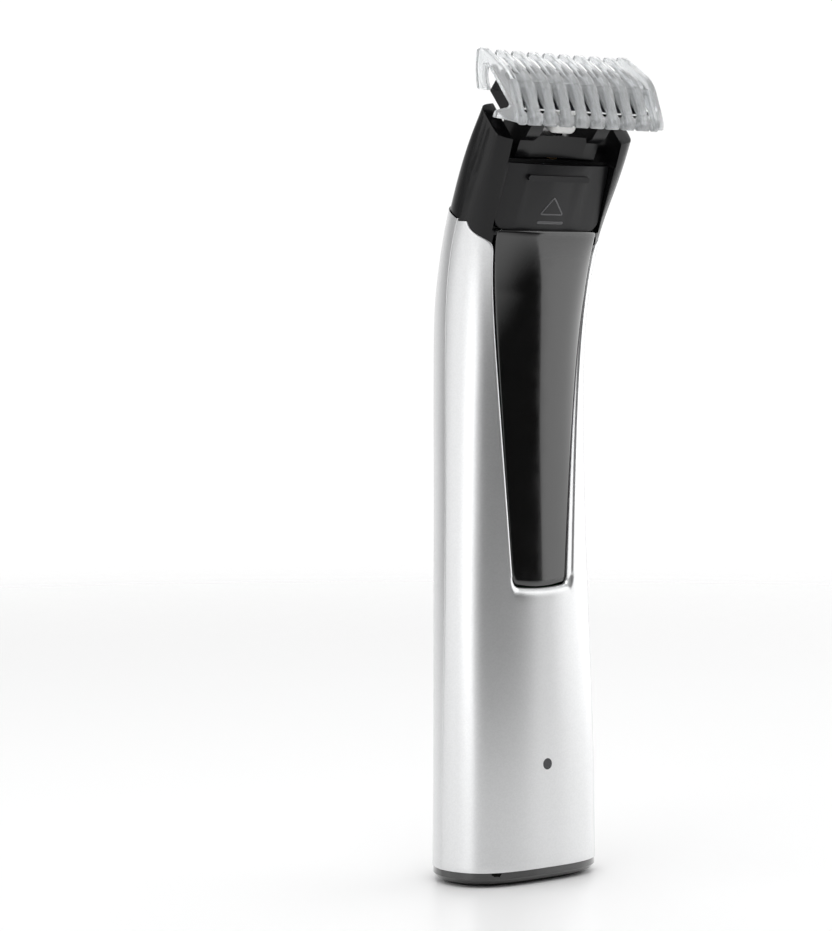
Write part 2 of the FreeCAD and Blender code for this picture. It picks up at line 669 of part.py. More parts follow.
def end_cap(sign):
    """End plate of the head, with a rounded bead at each tip."""
    outline = [(5.3, 0.0), (5.3, -0.9), (3.6, -0.95), (3.1, -TRAY_DEPTH), (-3.4, -TRAY_DEPTH),
               (-3.9, -2.1), (-5.3, -0.95), (-5.3, 0.0)]
    x0, x1 = (16.15, HEAD_HALF) if sign > 0 else (-HEAD_HALF, -16.15)
    plate = side_prism(outline, x0, x1)
    for y in (5.25, -5.25):
        plate = plate.fuse(cyl(0.55, x1 - x0, V(x0, y, -0.45), XA))
    return put(plate.removeSplitter(), HEAD)


def toothed_plate(half_length, half_width, root, tooth, z0, z1):
    """Flat plate with a row of square teeth along both long edges."""
    first = -0.5 * (TEETH - 1) * TOOTH_PITCH
    row = []
    for i in range(TEETH):
        x = first + i * TOOTH_PITCH
        row += [(x - tooth / 2, root), (x - tooth / 3, half_width), (x + tooth / 3, half_width),
                (x + tooth / 2, root)]
    edge = [(-half_length, root)] + row + [(half_length, root)]
    points = [V(x, y, z0) for x, y in edge] + [V(x, -y, z0) for x, y in reversed(edge)]
    return polygon(points, V(0, 0, z1 - z0))


def fixed_blade():
    return put(toothed_plate(BLADE_LENGTH / 2, BLADE_HALF - 0.1, 4.2, 0.52, -0.4, -0.02), HEAD)


def moving_blade():
    return put(toothed_plate(14.9, BLADE_HALF - 0.55, 4.1, 0.5, -0.85, -0.43), HEAD)


def edge_strips():
    """Two bright rails behind the tooth roots that guide the moving blade."""
    rails = [put(box(-16.0, 16.0, y0, y1, -1.5, -0.96), HEAD) for y0, y1 in ((3.72, 4.5), (-4.9, -4.12))]
    return Part.makeCompound(rails)


def drive_yoke():
    """White follower under the moving blade; its slot runs along the drive axis."""
    stem = put(box(-2.6, 2.6, -1.7, 1.7, -3.0, -0.87), HEAD)
    block = box(-YOKE_HALF, YOKE_HALF, -1.7, 3.6, 5.4, 12.5)
    block = softened(block, 1.2, lambda e: abs(e.CenterOfMass.z - 5.4) < 0.01 or abs(e.tangentAt(0).z) > 0.9)
    block = put(block, NECK).cut(put(box(-10, 10, -10, 10, -2.3, 20), HEAD))
    slot = box(-SLOT_HALF_X, SLOT_HALF_X, CRANK_Y - SLOT_HALF_Y, CRANK_Y + SLOT_HALF_Y, 3.0, 8.3)
    return stem.fuse(block).cut(put(slot, NECK)).cut(yoke_pin()).removeSplitter()


def yoke_pin():
    """Steel cross pin of the follower, its end showing on the front."""
    pin = cyl(0.55, 6.6, V(0, -2.0, 9.35), YA)
    return put(pin, NECK)


def cutter_springs():
    """Two leaf springs in the tray that hold the moving blade up."""
    leaves = [put(box(x - 1.6, x + 1.6, -2.2, 2.2, -1.25, -0.97), HEAD) for x in (-9.0, 9.0)]
    return Part.makeCompound(leaves)


def head_screws():
    """Screws from the tray into the fixed blade's ends."""
    screws = []
    for x in (-12.6, 12.6):
        screws.append(put(cyl(0.7, 1.0, V(x, 0, -2.0)).fuse(cyl(1.3, 0.8, V(x, 0, -2.8))), HEAD))
    return Part.makeCompound(screws)


# ---------------------------------------------------------------- comb guard
# Outlines in the blade plane's frame: (y, z) with z along the blade normal.
COMB_OUTER = [(9.6, 0.2), (8.9, 0.95), (0.6, 3.5), (-0.8, 3.3), (-8.4, 0.7), (-9.5, 0.0)]
COMB_INNER = [(-9.3, -1.5), (-6.6, -0.9), (-6.3, 0.6), (0.0, 1.9), (6.9, 0.5), (9.2, -0.9)]
COMB_FRONT = [(-1.0, 2.5), (-8.8, -0.2), (-9.2, -0.6), (-9.2, -1.4), (-7.4, -1.5), (-7.2, -0.6), (-6.4, 0.15),
              (-1.2, 1.6)]
COMB_RIDGE = [(-2.2, 1.9), (-0.4, 2.5), (1.6, 2.2), (1.4, 1.5), (-2.0, 1.3)]
COMB_END = [(9.9, 0.3), (9.0, 1.0), (0.6, 3.5), (-0.8, 3.3), (-8.4, 0.7), (-9.7, -0.5), (-7.1, -2.5),
            (-3.2, -5.7), (-2.7, -4.2), (-5.1, -0.8), (-4.8, -0.3), (6.1, -0.2), (6.6, -0.9), (5.0, -2.8),
            (2.3, -3.8), (4.2, -5.6), (7.6, -3.4), (10.3, -0.6)]
COMB_TOOTH = 1.8
COMB_WALL_GAP = 0.35      # side room between the comb's end walls and the head
VENT_TOP, VENT_BOTTOM, VENT_HALF = -2.9, -7.1, 0.98


def comb_guard():
    """Clear guard: ten arched teeth joined by a ridge bar and by a front plate
    with a three-cornered vent between each two teeth."""
    wall = COMB_HALF - HEAD_HALF - COMB_WALL_GAP
    pitch = (2 * COMB_HALF - wall) / (COMB_TEETH - 1)
    places = [-COMB_HALF + wall / 2 + i * pitch for i in range(COMB_TEETH)]
    inner = COMB_HALF - wall / 2
    comb = side_prism(COMB_FRONT, -inner, inner)
    for a, b in zip(places, places[1:]):
        x = (a + b) / 2
        corners = [V(x, VENT_TOP, -3), V(x - VENT_HALF, VENT_BOTTOM, -3), V(x + VENT_HALF, VENT_BOTTOM, -3)]
        comb = comb.cut(polygon(corners, V(0, 0, 8)))
    comb = comb.fuse(side_prism(COMB_RIDGE, -inner, inner))
    for x in places[1:-1]:
        comb = comb.fuse(side_prism(COMB_OUTER + COMB_INNER, x - COMB_TOOTH / 2, x + COMB_TOOTH / 2))
    for x in (places[0], places[-1]):
        comb = comb.fuse(side_prism(COMB_END, x - wall / 2, x + wall / 2))
    return put(comb.removeSplitter(), HEAD)


# ---------------------------------------------------------------- build
def build():
    front, rear = shell_front(), shell_rear()
    insert, grip = front_insert(), thumb_grip()
    nodes = {
        "shell_front": front,
        "shell_rear": rear,
        "front_insert": insert,
        "thumb_grip": grip,
        "neck_frame": neck_frame([front, rear, grip]),
        "base_cap": base_cap(),
        "base_foot": base_foot(),
        "base_seal": base_seal(),
        "base_clips": base_clips(),
        "chassis": chassis(),
        "case_screws": case_screws(),
        "charge_socket": charge_socket(),
        "socket_pin": socket_pin(),
        "status_led": status_led(),
        "led_lens": led_lens(),
        "circuit_board": circuit_board(),
        "board_components": board_components(),
        "battery_cell": battery_cell(),
        "battery_cradle": battery_cradle(),
        "battery_tabs": battery_tabs(),
        "motor_can": motor_can(),
        "motor_bush": motor_bush(),
        "motor_end_bell": motor_end_bell(),
        "motor_magnets": motor_magnets(),
        "motor_armature": motor_armature(),
        "motor_shaft": motor_shaft(),
        "motor_clamp": motor_clamp(),
        "clamp_screws": clamp_screws(),
        "motor_leads": motor_leads(),
        "drive_crank": drive_crank(),
        "crank_pin": crank_pin(),
        "drive_seal": drive_seal(),
        "switch_plate": switch_plate(),
        "switch_carrier": switch_carrier(),
        "switch_lever": switch_lever(),
        "slide_switch": slide_switch(),
        "cartridge_body": cartridge_body(),
        "end_cap_left": end_cap(-1),
        "end_cap_right": end_cap(1),
        "fixed_blade": fixed_blade(),
        "moving_blade": moving_blade(),
        "edge_strips": edge_strips(),
        "drive_yoke": drive_yoke(),
        "yoke_pin": yoke_pin(),
        "cutter_springs": cutter_springs(),
        "head_screws": head_screws(),
        "comb_guard": comb_guard(),
    }
    os.makedirs("parts", exist_ok=True)
    for name, shape in nodes.items():
        solids = len(shape.Solids)
        print(f"{name:18s} solids {solids} valid {shape.isValid()} volume {shape.Volume:9.1f}")
        shape.exportStep(f"parts/{name}.step")
    return nodes


build()
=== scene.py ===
"""Looks of a cordless beard trimmer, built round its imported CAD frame.

Run as a script: it loads the frame, registers the add-on, makes every piece
through its operator and finishes the scene.
"""

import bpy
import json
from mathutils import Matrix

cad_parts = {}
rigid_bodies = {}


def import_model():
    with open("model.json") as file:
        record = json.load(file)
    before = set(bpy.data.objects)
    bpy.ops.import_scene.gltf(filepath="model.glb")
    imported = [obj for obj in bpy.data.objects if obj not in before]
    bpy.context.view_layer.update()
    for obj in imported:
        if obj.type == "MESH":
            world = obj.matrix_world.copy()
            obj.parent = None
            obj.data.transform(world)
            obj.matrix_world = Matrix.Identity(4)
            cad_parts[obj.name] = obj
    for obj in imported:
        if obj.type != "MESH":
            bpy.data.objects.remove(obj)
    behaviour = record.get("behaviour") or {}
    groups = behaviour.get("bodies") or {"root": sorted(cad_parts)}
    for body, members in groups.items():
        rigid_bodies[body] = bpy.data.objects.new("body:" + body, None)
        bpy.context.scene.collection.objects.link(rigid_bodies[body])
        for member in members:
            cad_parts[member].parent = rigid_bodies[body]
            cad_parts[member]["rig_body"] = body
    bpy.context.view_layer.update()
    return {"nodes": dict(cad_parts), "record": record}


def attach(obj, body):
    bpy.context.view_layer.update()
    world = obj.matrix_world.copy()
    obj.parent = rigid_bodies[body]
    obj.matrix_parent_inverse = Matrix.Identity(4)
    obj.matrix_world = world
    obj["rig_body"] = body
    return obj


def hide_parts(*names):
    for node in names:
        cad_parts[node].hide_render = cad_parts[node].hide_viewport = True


bl_info = {
    "name": "Beard Trimmer Builder",
    "version": (1, 0, 0),
    "blender": (4, 5, 0),
    "location": "View3D > Sidebar > Trimmer",
    "description": "Builds the surfaces, finishes and stage of a cordless beard trimmer",
    "category": "Object",
}

import json
import math

import bmesh
import bpy
import numpy as np
from mathutils import Vector

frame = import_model()
NODES = frame["nodes"]
MM = 0.001

# ------------------------------------------------------------ body dimensions
# Height, half width, y of the parting line, y of the front line, y of the rear
# line, roundness power of the front and of the rear; millimetres.
SECTIONS = np.array([
    (0.0, 18.7, 0.4, -11.0, 13.2, 3.0, 2.1),
    (25.0, 18.3, 0.6, -10.8, 13.2, 3.0, 2.1),
    (56.0, 17.6, 0.7, -9.9, 14.4, 2.8, 2.1),
    (80.0, 16.9, 1.4, -9.3, 15.0, 2.8, 2.1),
    (97.0, 16.6, 1.8, -9.1, 15.4, 2.9, 2.1),
    (108.0, 16.5, 1.9, -9.3, 15.4, 3.0, 2.1),
    (118.0, 16.7, 1.3, -9.8, 14.1, 3.2, 2.2),
    (127.0, 17.1, -0.4, -10.7, 10.4, 3.6, 2.5),
    (134.0, 17.6, -3.2, -12.0, 6.2, 4.2, 3.1),
    (141.0, 18.0, -6.9, -14.1, 1.5, 5.6, 4.2),
    (148.0, 18.2, -10.7, -16.5, -3.4, 7.4, 6.0),
    (158.0, 18.3, -16.0, -19.6, -10.6, 9.0, 8.0),
])
KEEL = 1.6
FRONT, REAR = -1, 1
SHELL_BOTTOM = 3.02
SHELL_WALL = 1.35
FIT = 0.12
WINDOW_FAN = 0.42        # q on the base that the window's lower corner faces
REAR_LOW_LIP = 1.2
LIP_DEPTH = {FRONT: 1.2, REAR: 0.7}      # how deep the lip at the window's lower end rolls in
CORNER_X, CORNER_Z = 1.7, 2.0
WINDOW_SAG = 0.6         # the window's lower end bows down by this much in the middle
WINDOW_BOTTOM, GRIP_BOTTOM = 60.6, 105.1
INSERT_TOP, INSERT_LIMIT, INSERT_THICK = 132.3, 13.48, 1.9
INSERT_SUNK = ((60.0, 1.15), (95.0, 0.55), (120.0, 0.15))   # height, depth below the shell
INSERT_ROUND, INSERT_GRID = 0.6, (40, 90)
GRIP_INSET, GRIP_THICK, GRIP_TOP = 0.1, 2.2, 151.0
GRIP_RISE = ((134.6, 12.2), (151.5, 13.4))
GRIP_ROUND, GRIP_GRID = 0.35, (160, 290)
FRONT_EDGE = [(7.95, 62.6), (9.6, 88.0), (11.2, 108.0), (13.2, 127.6)]
FRONT_EAR = [(13.2, 127.6), (13.75, 129.4), (15.0, 130.4), (16.7, 131.7), (17.5, 134.1)]
REAR_EDGE = [(7.6, 107.2), (8.7, 114.0), (10.1, 123.5), (12.2, 134.6)]
REAR_EAR = [(12.2, 134.6), (12.55, 136.5), (13.3, 137.5), (14.5, 137.5), (16.2, 136.2), (17.5, 134.1)]

NECK_TILT, NECK_ORIGIN = 28.0, (0.0, -11.2, 147.2)
SWITCH_TILT, SWITCH_ORIGIN = 16.0, (0.0, -10.7, 132.2)
SWITCH_HALF, SWITCH_CROWN = 13.75, 1.0
SWITCH_ROUND = 0.3
SLIDE_MARKS = (          # name, corners (x, z) on the slide, how far they are rounded off
    ("slide_arrow", [(-2.9, 3.4), (2.9, 3.4), (0.0, 6.9)], 0.5),
    ("slide_dash", [(-3.2, 1.55), (3.2, 1.55), (3.2, 1.85), (-3.2, 1.85)], 0.14))
MARK_SQUASH = 0.7
SMALL_CORNERS = {"fixed_blade": 0.04, "moving_blade": 0.04, "edge_strips": 0.06, "drive_yoke": 0.15,
                 "yoke_pin": 0.1, "led_lens": 0.12}
WELD, WELD_CAD, FLAT = 1e-6, 3e-6, 0.7   # metres, metres, degrees


# ------------------------------------------------------------ curves
def natural_curve(knots, values):
    """Cubic curve through the points with no bend at either end.

    The bend at each knot solves the three-term rule that keeps slope and bend
    continuous; between two knots the value is the usual cubic blend.
    """
    x, y = np.asarray(knots, float), np.asarray(values, float)
    step = np.diff(x)
    rows = np.eye(len(x))
    right = np.zeros(len(x))
    inner = np.arange(1, len(x) - 1)
    rows[inner, inner - 1] = step[:-1]
    rows[inner, inner] = 2 * (step[:-1] + step[1:])
    rows[inner, inner + 1] = step[1:]
    right[inner] = 6 * np.diff(np.diff(y) / step)
    bend = np.linalg.solve(rows, right)

    def at(where):
        w = np.asarray(where, float)
        i = np.clip(np.searchsorted(x, w) - 1, 0, len(x) - 2)
        h, d, e = step[i], w - x[i], x[i + 1] - w
        return ((bend[i] * e ** 3 + bend[i + 1] * d ** 3) / (6 * h)
                + (y[i] / h - bend[i] * h / 6) * e + (y[i + 1] / h - bend[i + 1] * h / 6) * d)
    return at


HALF_WIDTH, PARTING, FRONT_LINE, REAR_LINE, FRONT_POWER, REAR_POWER = [
    natural_curve(SECTIONS[:, 0], SECTIONS[:, k]) for k in range(1, 7)]


def through(points, count):
    """Points along a smooth curve through a few (x, z) points, by chord length."""
    pts = np.array(points, float)
    run = np.concatenate([[0], np.cumsum(np.linalg.norm(np.diff(pts, axis=0), axis=1))])
    t = np.linspace(0, run[-1], count)
    return natural_curve(run, pts[:, 0])(t), natural_curve(run, pts[:, 1])(t)


def section(side, z):
    """Half width, parting y, depth, widened depth, widened width, power and first angle of a half."""
    a, yc = HALF_WIDTH(z), PARTING(z)
    depth = yc - FRONT_LINE(z) if side == FRONT else REAR_LINE(z) - yc
    p = FRONT_POWER(z) if side == FRONT else REAR_POWER(z)
    full = depth + KEEL
    wide = a / (1 - (KEEL / full) ** p) ** (1 / p)
    return a, yc, depth, full, wide, p, np.arctan2(KEEL / full, a / wide)


def body_surface(side, q, z, inset=0.0):
    """Point of one half of the body, in millimetres.

    q runs from -1 on the -X parting line to +1 on the +X one.  The angle t
    goes evenly from the parting line over the middle; the radius follows the
    super-ellipse |cos t|^p + |sin t|^p = 1, and the inset shrinks the half
    towards the parting line in proportion.
    """
    q, z, inset = np.broadcast_arrays(q, z, inset)
    a, yc, depth, full, wide, p, start = section(side, z)
    t = math.pi / 2 - q * (math.pi / 2 - start)
    c, s = np.cos(t), np.sin(t)
    r = (np.abs(c) ** p + np.abs(s) ** p) ** (-1 / p)
    x = wide * c * r * (a - inset) / a
    y = yc + side * (full * s * r - KEEL) * (depth - inset) / depth
    return np.stack([x, y, z], axis=-1)


def arc_fraction(side, x, z):
    """The q at which one half has the given x at height z: the super-ellipse solved for its angle."""
    a, yc, depth, full, wide, p, start = section(side, z)
    u = np.clip(np.asarray(x) / wide, -1, 1)
    v = (1 - np.abs(u) ** p) ** (1 / p)
    return (math.pi / 2 - np.arctan2(v, u)) / (math.pi / 2 - start)


def in_tilted(points, tilt, origin):
    """Points of a frame that leans forward by tilt degrees about X, put into the body frame."""
    lean = math.radians(tilt)
    x, y, z = np.moveaxis(np.asarray(points, float), -1, 0)
    return np.stack([x + origin[0], y * math.cos(lean) - z * math.sin(lean) + origin[1],
                     y * math.sin(lean) + z * math.cos(lean) + origin[2]], axis=-1)


# ------------------------------------------------------------ mesh building
def add_piece(name, vertices, faces, body, finish, replaces=(), angle=40.0, values=None):
    """Mesh object from millimetre vertices and faces, riding on a body."""
    mesh = bpy.data.meshes.new(name)
    mesh.from_pydata((np.asarray(vertices, float) * MM).tolist(), [],
                     faces if isinstance(faces, list) else faces.tolist())
    for label, data in (values or {}).items():
        layer = mesh.attributes.new(label, "FLOAT", "POINT")
        layer.data.foreach_set("value", np.asarray(data, np.float32).ravel())
    built = bmesh.new()
    built.from_mesh(mesh)
    bmesh.ops.remove_doubles(built, verts=built.verts, dist=WELD)
    bmesh.ops.recalc_face_normals(built, faces=built.faces)
    built.to_mesh(mesh)
    built.free()
    return settle(name, mesh, body, finish, replaces, angle)


def settle(name, mesh, body, finish, replaces=(), angle=40.0):
    """Object for a finished mesh: smooth shading, material, body, slot and replaced nodes."""
    mesh.polygons.foreach_set("use_smooth", np.ones(len(mesh.polygons), bool))
    mesh.set_sharp_from_angle(angle=math.radians(angle))
    mesh.materials.clear()
    mesh.materials.append(finish)
    piece = bpy.data.objects.new(name, mesh)
    bpy.context.scene.collection.objects.link(piece)
    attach(piece, body)
    if replaces:
        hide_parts(*replaces)
    return piece


def grid_faces(rows, columns, wrap_rows=False, wrap_columns=False, first=0):
    """Quads of a rows x columns grid of vertices; either direction may close on itself."""
    i = np.arange(rows if wrap_rows else rows - 1)
    j = np.arange(columns if wrap_columns else columns - 1)
    i, j = np.meshgrid(i, j, indexing="ij")
    i2, j2 = (i + 1) % rows, (j + 1) % columns
    quads = np.stack([i * columns + j, i * columns + j2, i2 * columns + j2, i2 * columns + j], axis=-1)
    return quads.reshape(-1, 4) + first


def softened_copy(node, finish, width=0.15, segments=2, angle=38.0):
    """A CAD node's mesh, welded, with its flat areas merged and its corners rounded."""
    mesh = NODES[node].data.copy()
    built = bmesh.new()
    built.from_mesh(mesh)
    bmesh.ops.remove_doubles(built, verts=built.verts, dist=WELD_CAD)
    bmesh.ops.dissolve_limit(built, angle_limit=math.radians(FLAT), verts=built.verts, edges=built.edges)
    built.to_mesh(mesh)
    built.free()
    piece = settle(node + "_finished", mesh, NODES[node]["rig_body"], finish, (node,), angle)
    if width:
        bevel = piece.modifiers.new("Rounded corners", "BEVEL")
        bevel.width = width * MM
        bevel.segments = segments
        bevel.limit_method = "ANGLE"
        bevel.angle_limit = math.radians(angle)
        bevel.harden_normals = True
    return piece


def dress(node, finish):
    """Give a CAD node that is shown as it is a finish."""
    mesh = NODES[node].data
    mesh.materials.clear()
    mesh.materials.append(finish)


# ------------------------------------------------------------ body pieces
def window_path(edge, ear, bottom, side):
    """Matched points on the window's edge and on the shell's outer border.

    Right half, from the middle of the window's lower end to the ear tip.  The
    flat lower end faces the middle of the base, the rounded corner fans out to
    the base corner and the lower parting line, and the long edge and the ear
    face the parting line level with them.  Returns q and z of both borders.
    """
    rise = natural_curve([z for x, z in edge], [x for x, z in edge])
    flat_x = np.linspace(0, edge[0][0] - CORNER_X, 26)
    turn = np.radians(np.concatenate([np.linspace(0, 32, 24)[1:], np.linspace(32, 90, 72)[1:]]))
    turn_x = edge[0][0] - CORNER_X + CORNER_X * np.sin(turn)
    turn_z = bottom + CORNER_Z * (1 - np.cos(turn)) - WINDOW_SAG * (1 - (turn_x / edge[0][0]) ** 2)
    flat_z = bottom - WINDOW_SAG * (1 - (flat_x / edge[0][0]) ** 2)
    long_z = np.linspace(edge[0][1], edge[-1][1], 84)[1:]
    ear_x, ear_z = through(ear, 44)
    x = np.concatenate([flat_x, turn_x, rise(long_z), ear_x[1:]])
    z = np.concatenate([flat_z, turn_z, long_z, ear_z[1:]])
    border_q = np.concatenate([np.linspace(0, WINDOW_FAN, 26), np.linspace(WINDOW_FAN, 1, 24)[1:],
                               np.ones(71 + 83 + 43)])
    border_z = np.concatenate([np.full(26 + 23, SHELL_BOTTOM), np.linspace(SHELL_BOTTOM, edge[0][1], 72)[1:],
                               long_z, np.linspace(long_z[-1], ear_z[-1], 44)[1:]])
    q = arc_fraction(side, x, z)
    q[-1], z[-1] = 1.0, border_z[-1]
    return q, z, border_q, border_z


def shell(side, edge, ear, bottom, lip, low_lip, border_lip, finish, name, node):
    """One silver half: a band from the window's edge out to the parting line.

    Each cross line runs straight in (q, z) from the window's edge to the outer
    border.  Its outline is a closed loop: a rounded lip, the outer face, a
    smaller rounded border, the wall and the inner face.
    """
    q, z, border_q, border_z = window_path(edge, ear, bottom, side)
    q = np.concatenate([-q[:0:-1], q])
    border_q = np.concatenate([-border_q[:0:-1], border_q])
    z, border_z = (np.concatenate([v[:0:-1], v]) for v in (z, border_z))
    share = np.linspace(0, 1, 9)[:, None]
    line = body_surface(side, q + (border_q - q) * share, z + (border_z - z) * share)
    length = np.maximum(np.linalg.norm(np.diff(line, axis=0), axis=2).sum(0), 1e-3)
    level = np.clip((z - bottom) / CORNER_Z, 0, 1)
    lip_here = np.minimum(low_lip + (lip - low_lip) * level, 0.35 * length)
    low_depth = LIP_DEPTH[side]
    lip_depth = np.minimum(low_depth + (lip - low_depth) * level, 0.35 * length)
    border = np.minimum(border_lip, 0.25 * length)
    swing = np.radians(np.linspace(90, 0, 7))[:, None]
    first = lip_here * (1 - np.sin(swing)) / length
    first_depth = lip_depth * (1 - np.cos(swing))
    last = 1 - border * (1 - np.sin(swing[::-1])) / length
    last_depth = border * (1 - np.cos(swing[::-1]))
    across = np.linspace(0, 1, 44)[1:-1, None]
    middle = first[-1] + (last[0] - first[-1]) * across
    back = np.linspace(1, 0, 10)[:, None] * np.ones_like(length)
    w = np.concatenate([first, middle, last, back])
    depth = np.concatenate([first_depth, np.zeros_like(middle), last_depth, np.full_like(back, SHELL_WALL)])
    points = body_surface(side, q + (border_q - q) * w, z + (border_z - z) * w, depth)
    faces = grid_faces(len(w), len(q), wrap_rows=True)
    return add_piece(name, points.reshape(-1, 3), faces, "handle", finish, (node,), 50.0)


def spread(count, edge_steps, radius, span):
    """Fractions 0..1 of a span with extra ones on the rounded edges at both ends."""
    swing = np.radians(np.linspace(90, 0, edge_steps))
    low = radius * (1 - np.sin(swing)) / span
    inner = np.linspace(low[-1], 1 - low[-1], count)
    return np.concatenate([low[:-1], inner, 1 - low[-2::-1]])


def panel_outline(edge, bottom, limit):
    """Half width of a panel in its window: the window's curved edge less the fit,
    and an elliptic corner at the lower end."""
    rise = natural_curve([z for x, z in edge], [x for x, z in edge])

    def half(z):
        wide = np.minimum(np.where(z < edge[0][1], edge[0][0], rise(np.maximum(z, edge[0][1]))), limit(z))
        up = np.clip((z - bottom) / CORNER_Z, 0, 1)
        return wide - FIT - CORNER_X * (1 - np.sqrt(1 - (1 - up) ** 2))
    return half


def panel(side, half, bottom, top, inset, thick, radius, fine, relief=None):
    """Curved slab that fills a window: front grid, back grid and the walls between.

    x is a fraction of the half width at each height; the front drops away in
    a quarter circle within the radius of any edge.
    """
    u = spread(fine[0], 6, radius, 2 * half((bottom + top) / 2)) * 2 - 1
    v = spread(fine[1], 6, radius, top - bottom)
    u, v = np.meshgrid(u, v)
    low = bottom - WINDOW_SAG * (1 - u ** 2)
    z = low + v * (top - low)
    x = u * half(z)
    for _ in range(12):
        high = top_line(x, z, side) if relief else top
        z = low + v * (high - low)
        x = u * half(z)
    inset = inset(z)
    q = arc_fraction(side, x, z)
    from_side = half(z) * (1 - np.abs(u))
    from_end = np.minimum(z - low, high - z)
    drop = np.hypot(np.clip(radius - from_side, 0, radius), np.clip(radius - from_end, 0, radius))
    depth = inset + radius - np.sqrt(np.maximum(radius ** 2 - np.minimum(drop, radius) ** 2, 0))
    groove = np.zeros_like(depth)
    if relief:
        outer = body_surface(side, q, z, inset)
        groove = relief(outer, from_side, z - low, high - z)
        depth = depth + groove * KNURL_DEPTH
    front = body_surface(side, q, z, depth)
    back = body_surface(side, q, z, inset + thick)
    rows, columns = u.shape
    count = rows * columns
    ring = np.concatenate([np.arange(columns), np.arange(1, rows) * columns + columns - 1,
                           count - 2 - np.arange(columns - 1), np.arange(rows - 2, 0, -1) * columns])
    after = np.roll(ring, -1)
    walls = np.stack([ring, after, after + count, ring + count], axis=-1)
    faces = np.concatenate([grid_faces(rows, columns), grid_faces(rows, columns, first=count)[:, ::-1], walls])
    points = np.concatenate([front.reshape(-1, 3), back.reshape(-1, 3)])
    return points, faces, np.concatenate([groove.ravel(), np.zeros(count)])


def sunk_front(z):
    """Depth of the front insert below the body: deep at its lower end, flush under the slide."""
    return np.interp(z, *zip(*INSERT_SUNK))


def flush_grip(z):
    """Depth of the grip below the body, the same all over."""
    return np.full_like(z, GRIP_INSET)


def top_line(x, z, side):
    """Height at which the body meets the cradle floor, which leans with the neck."""
    y = body_surface(side, arc_fraction(side, x, z), z)[..., 1]
    slope = math.tan(math.radians(NECK_TILT))
    return NECK_ORIGIN[2] + slope * (y - NECK_ORIGIN[1])


KNURL_WIDTH, KNURL_LENGTH, KNURL_DEPTH, KNURL_GROOVE = 2.4, 4.9, 0.55, 0.45
KNURL_RIM, KNURL_FOOT, KNURL_HEAD, KNURL_FADE = 1.0, 2.6, 0.9, 0.25


def knurl(outer, from_side, from_bottom, from_top):
    """Groove depth 0..1 of a diamond knurl.

    Two families of lines, across/width + along/length and across/width -
    along/length at whole numbers, measured as run lengths on the surface; the
    depth falls in a V over the groove's half width and stops at the rims.
    """
    steps = np.linalg.norm(np.diff(outer, axis=1), axis=2)
    across = np.concatenate([np.zeros((len(outer), 1)), np.cumsum(steps, axis=1)], axis=1)
    across -= across[:, [across.shape[1] // 2]]
    rises = np.linalg.norm(np.diff(outer[:, outer.shape[1] // 2], axis=0), axis=1)
    along = np.concatenate([[0], np.cumsum(rises)])[:, None]
    spacing = 1 / math.hypot(1 / KNURL_WIDTH, 1 / KNURL_LENGTH)
    depth = np.zeros_like(across)
    for sign in (1, -1):
        phase = across / KNURL_WIDTH + sign * along / KNURL_LENGTH
        away = np.abs(phase - np.round(phase)) * spacing
        depth = np.maximum(depth, 1 - np.clip(away / KNURL_GROOVE, 0, 1))
    room = np.minimum(np.minimum(from_side - KNURL_RIM, from_bottom - KNURL_FOOT), from_top - KNURL_HEAD)
    return depth * np.clip(room / KNURL_FADE, 0, 1)


# ------------------------------------------------------------ small raised marks
def bead(path, radius, squash, sides=10):
    """Closed half-round bead along a closed path on the thumb slide.

    The section is a circle flattened by squash towards the surface; it is
    carried along the path on the path's own side and outward directions.
    """
    ahead = np.roll(path, -1, axis=0) - np.roll(path, 1, axis=0)
    ahead /= np.linalg.norm(ahead, axis=1)[:, None]
    out = np.array([0.0, -1.0, 0.0])
    across = np.cross(ahead, out)
    across /= np.linalg.norm(across, axis=1)[:, None]
    turn = np.linspace(0, 2 * math.pi, sides, endpoint=False)
    ring = (across[:, None] * np.cos(turn)[None, :, None] * radius
            + out[None, None] * np.sin(turn)[None, :, None] * radius * squash)
    return path[:, None] + ring


def rounded_loop(corners, round_off, count=12):
    """Closed outline whose corners are cut back by round_off and bridged by a parabola."""
    pts = np.array(corners, float)
    before, after = np.roll(pts, 1, axis=0), np.roll(pts, -1, axis=0)
    cut = np.broadcast_to(round_off, len(pts))[:, None]
    t = np.linspace(0, 1, count)[None, :, None]
    a = pts + (before - pts) / np.linalg.norm(before - pts, axis=1)[:, None] * cut
    b = pts + (after - pts) / np.linalg.norm(after - pts, axis=1)[:, None] * cut
    arc = (1 - t) ** 2 * a[:, None] + 2 * t * (1 - t) * pts[:, None] + t ** 2 * b[:, None]
    return arc.reshape(-1, 2)


def evenly(loop, count):
    """Points at even run lengths round a closed outline."""
    closed = np.concatenate([loop, loop[:1]])
    run = np.concatenate([[0], np.cumsum(np.linalg.norm(np.diff(closed, axis=0), axis=1))])
    at = np.linspace(0, run[-1], count, endpoint=False)
    return np.stack([np.interp(at, run, closed[:, 0]), np.interp(at, run, closed[:, 1])], axis=-1)


def slide_outline(corners, round_off):
    """Closed path through rounded corners on the crowned face of the thumb slide (x, z pairs)."""
    flat = rounded_loop(corners, round_off)
    crown = SWITCH_CROWN * (flat[:, 0] / SWITCH_HALF) ** 2
    return np.stack([flat[:, 0], crown, flat[:, 1]], axis=-1)


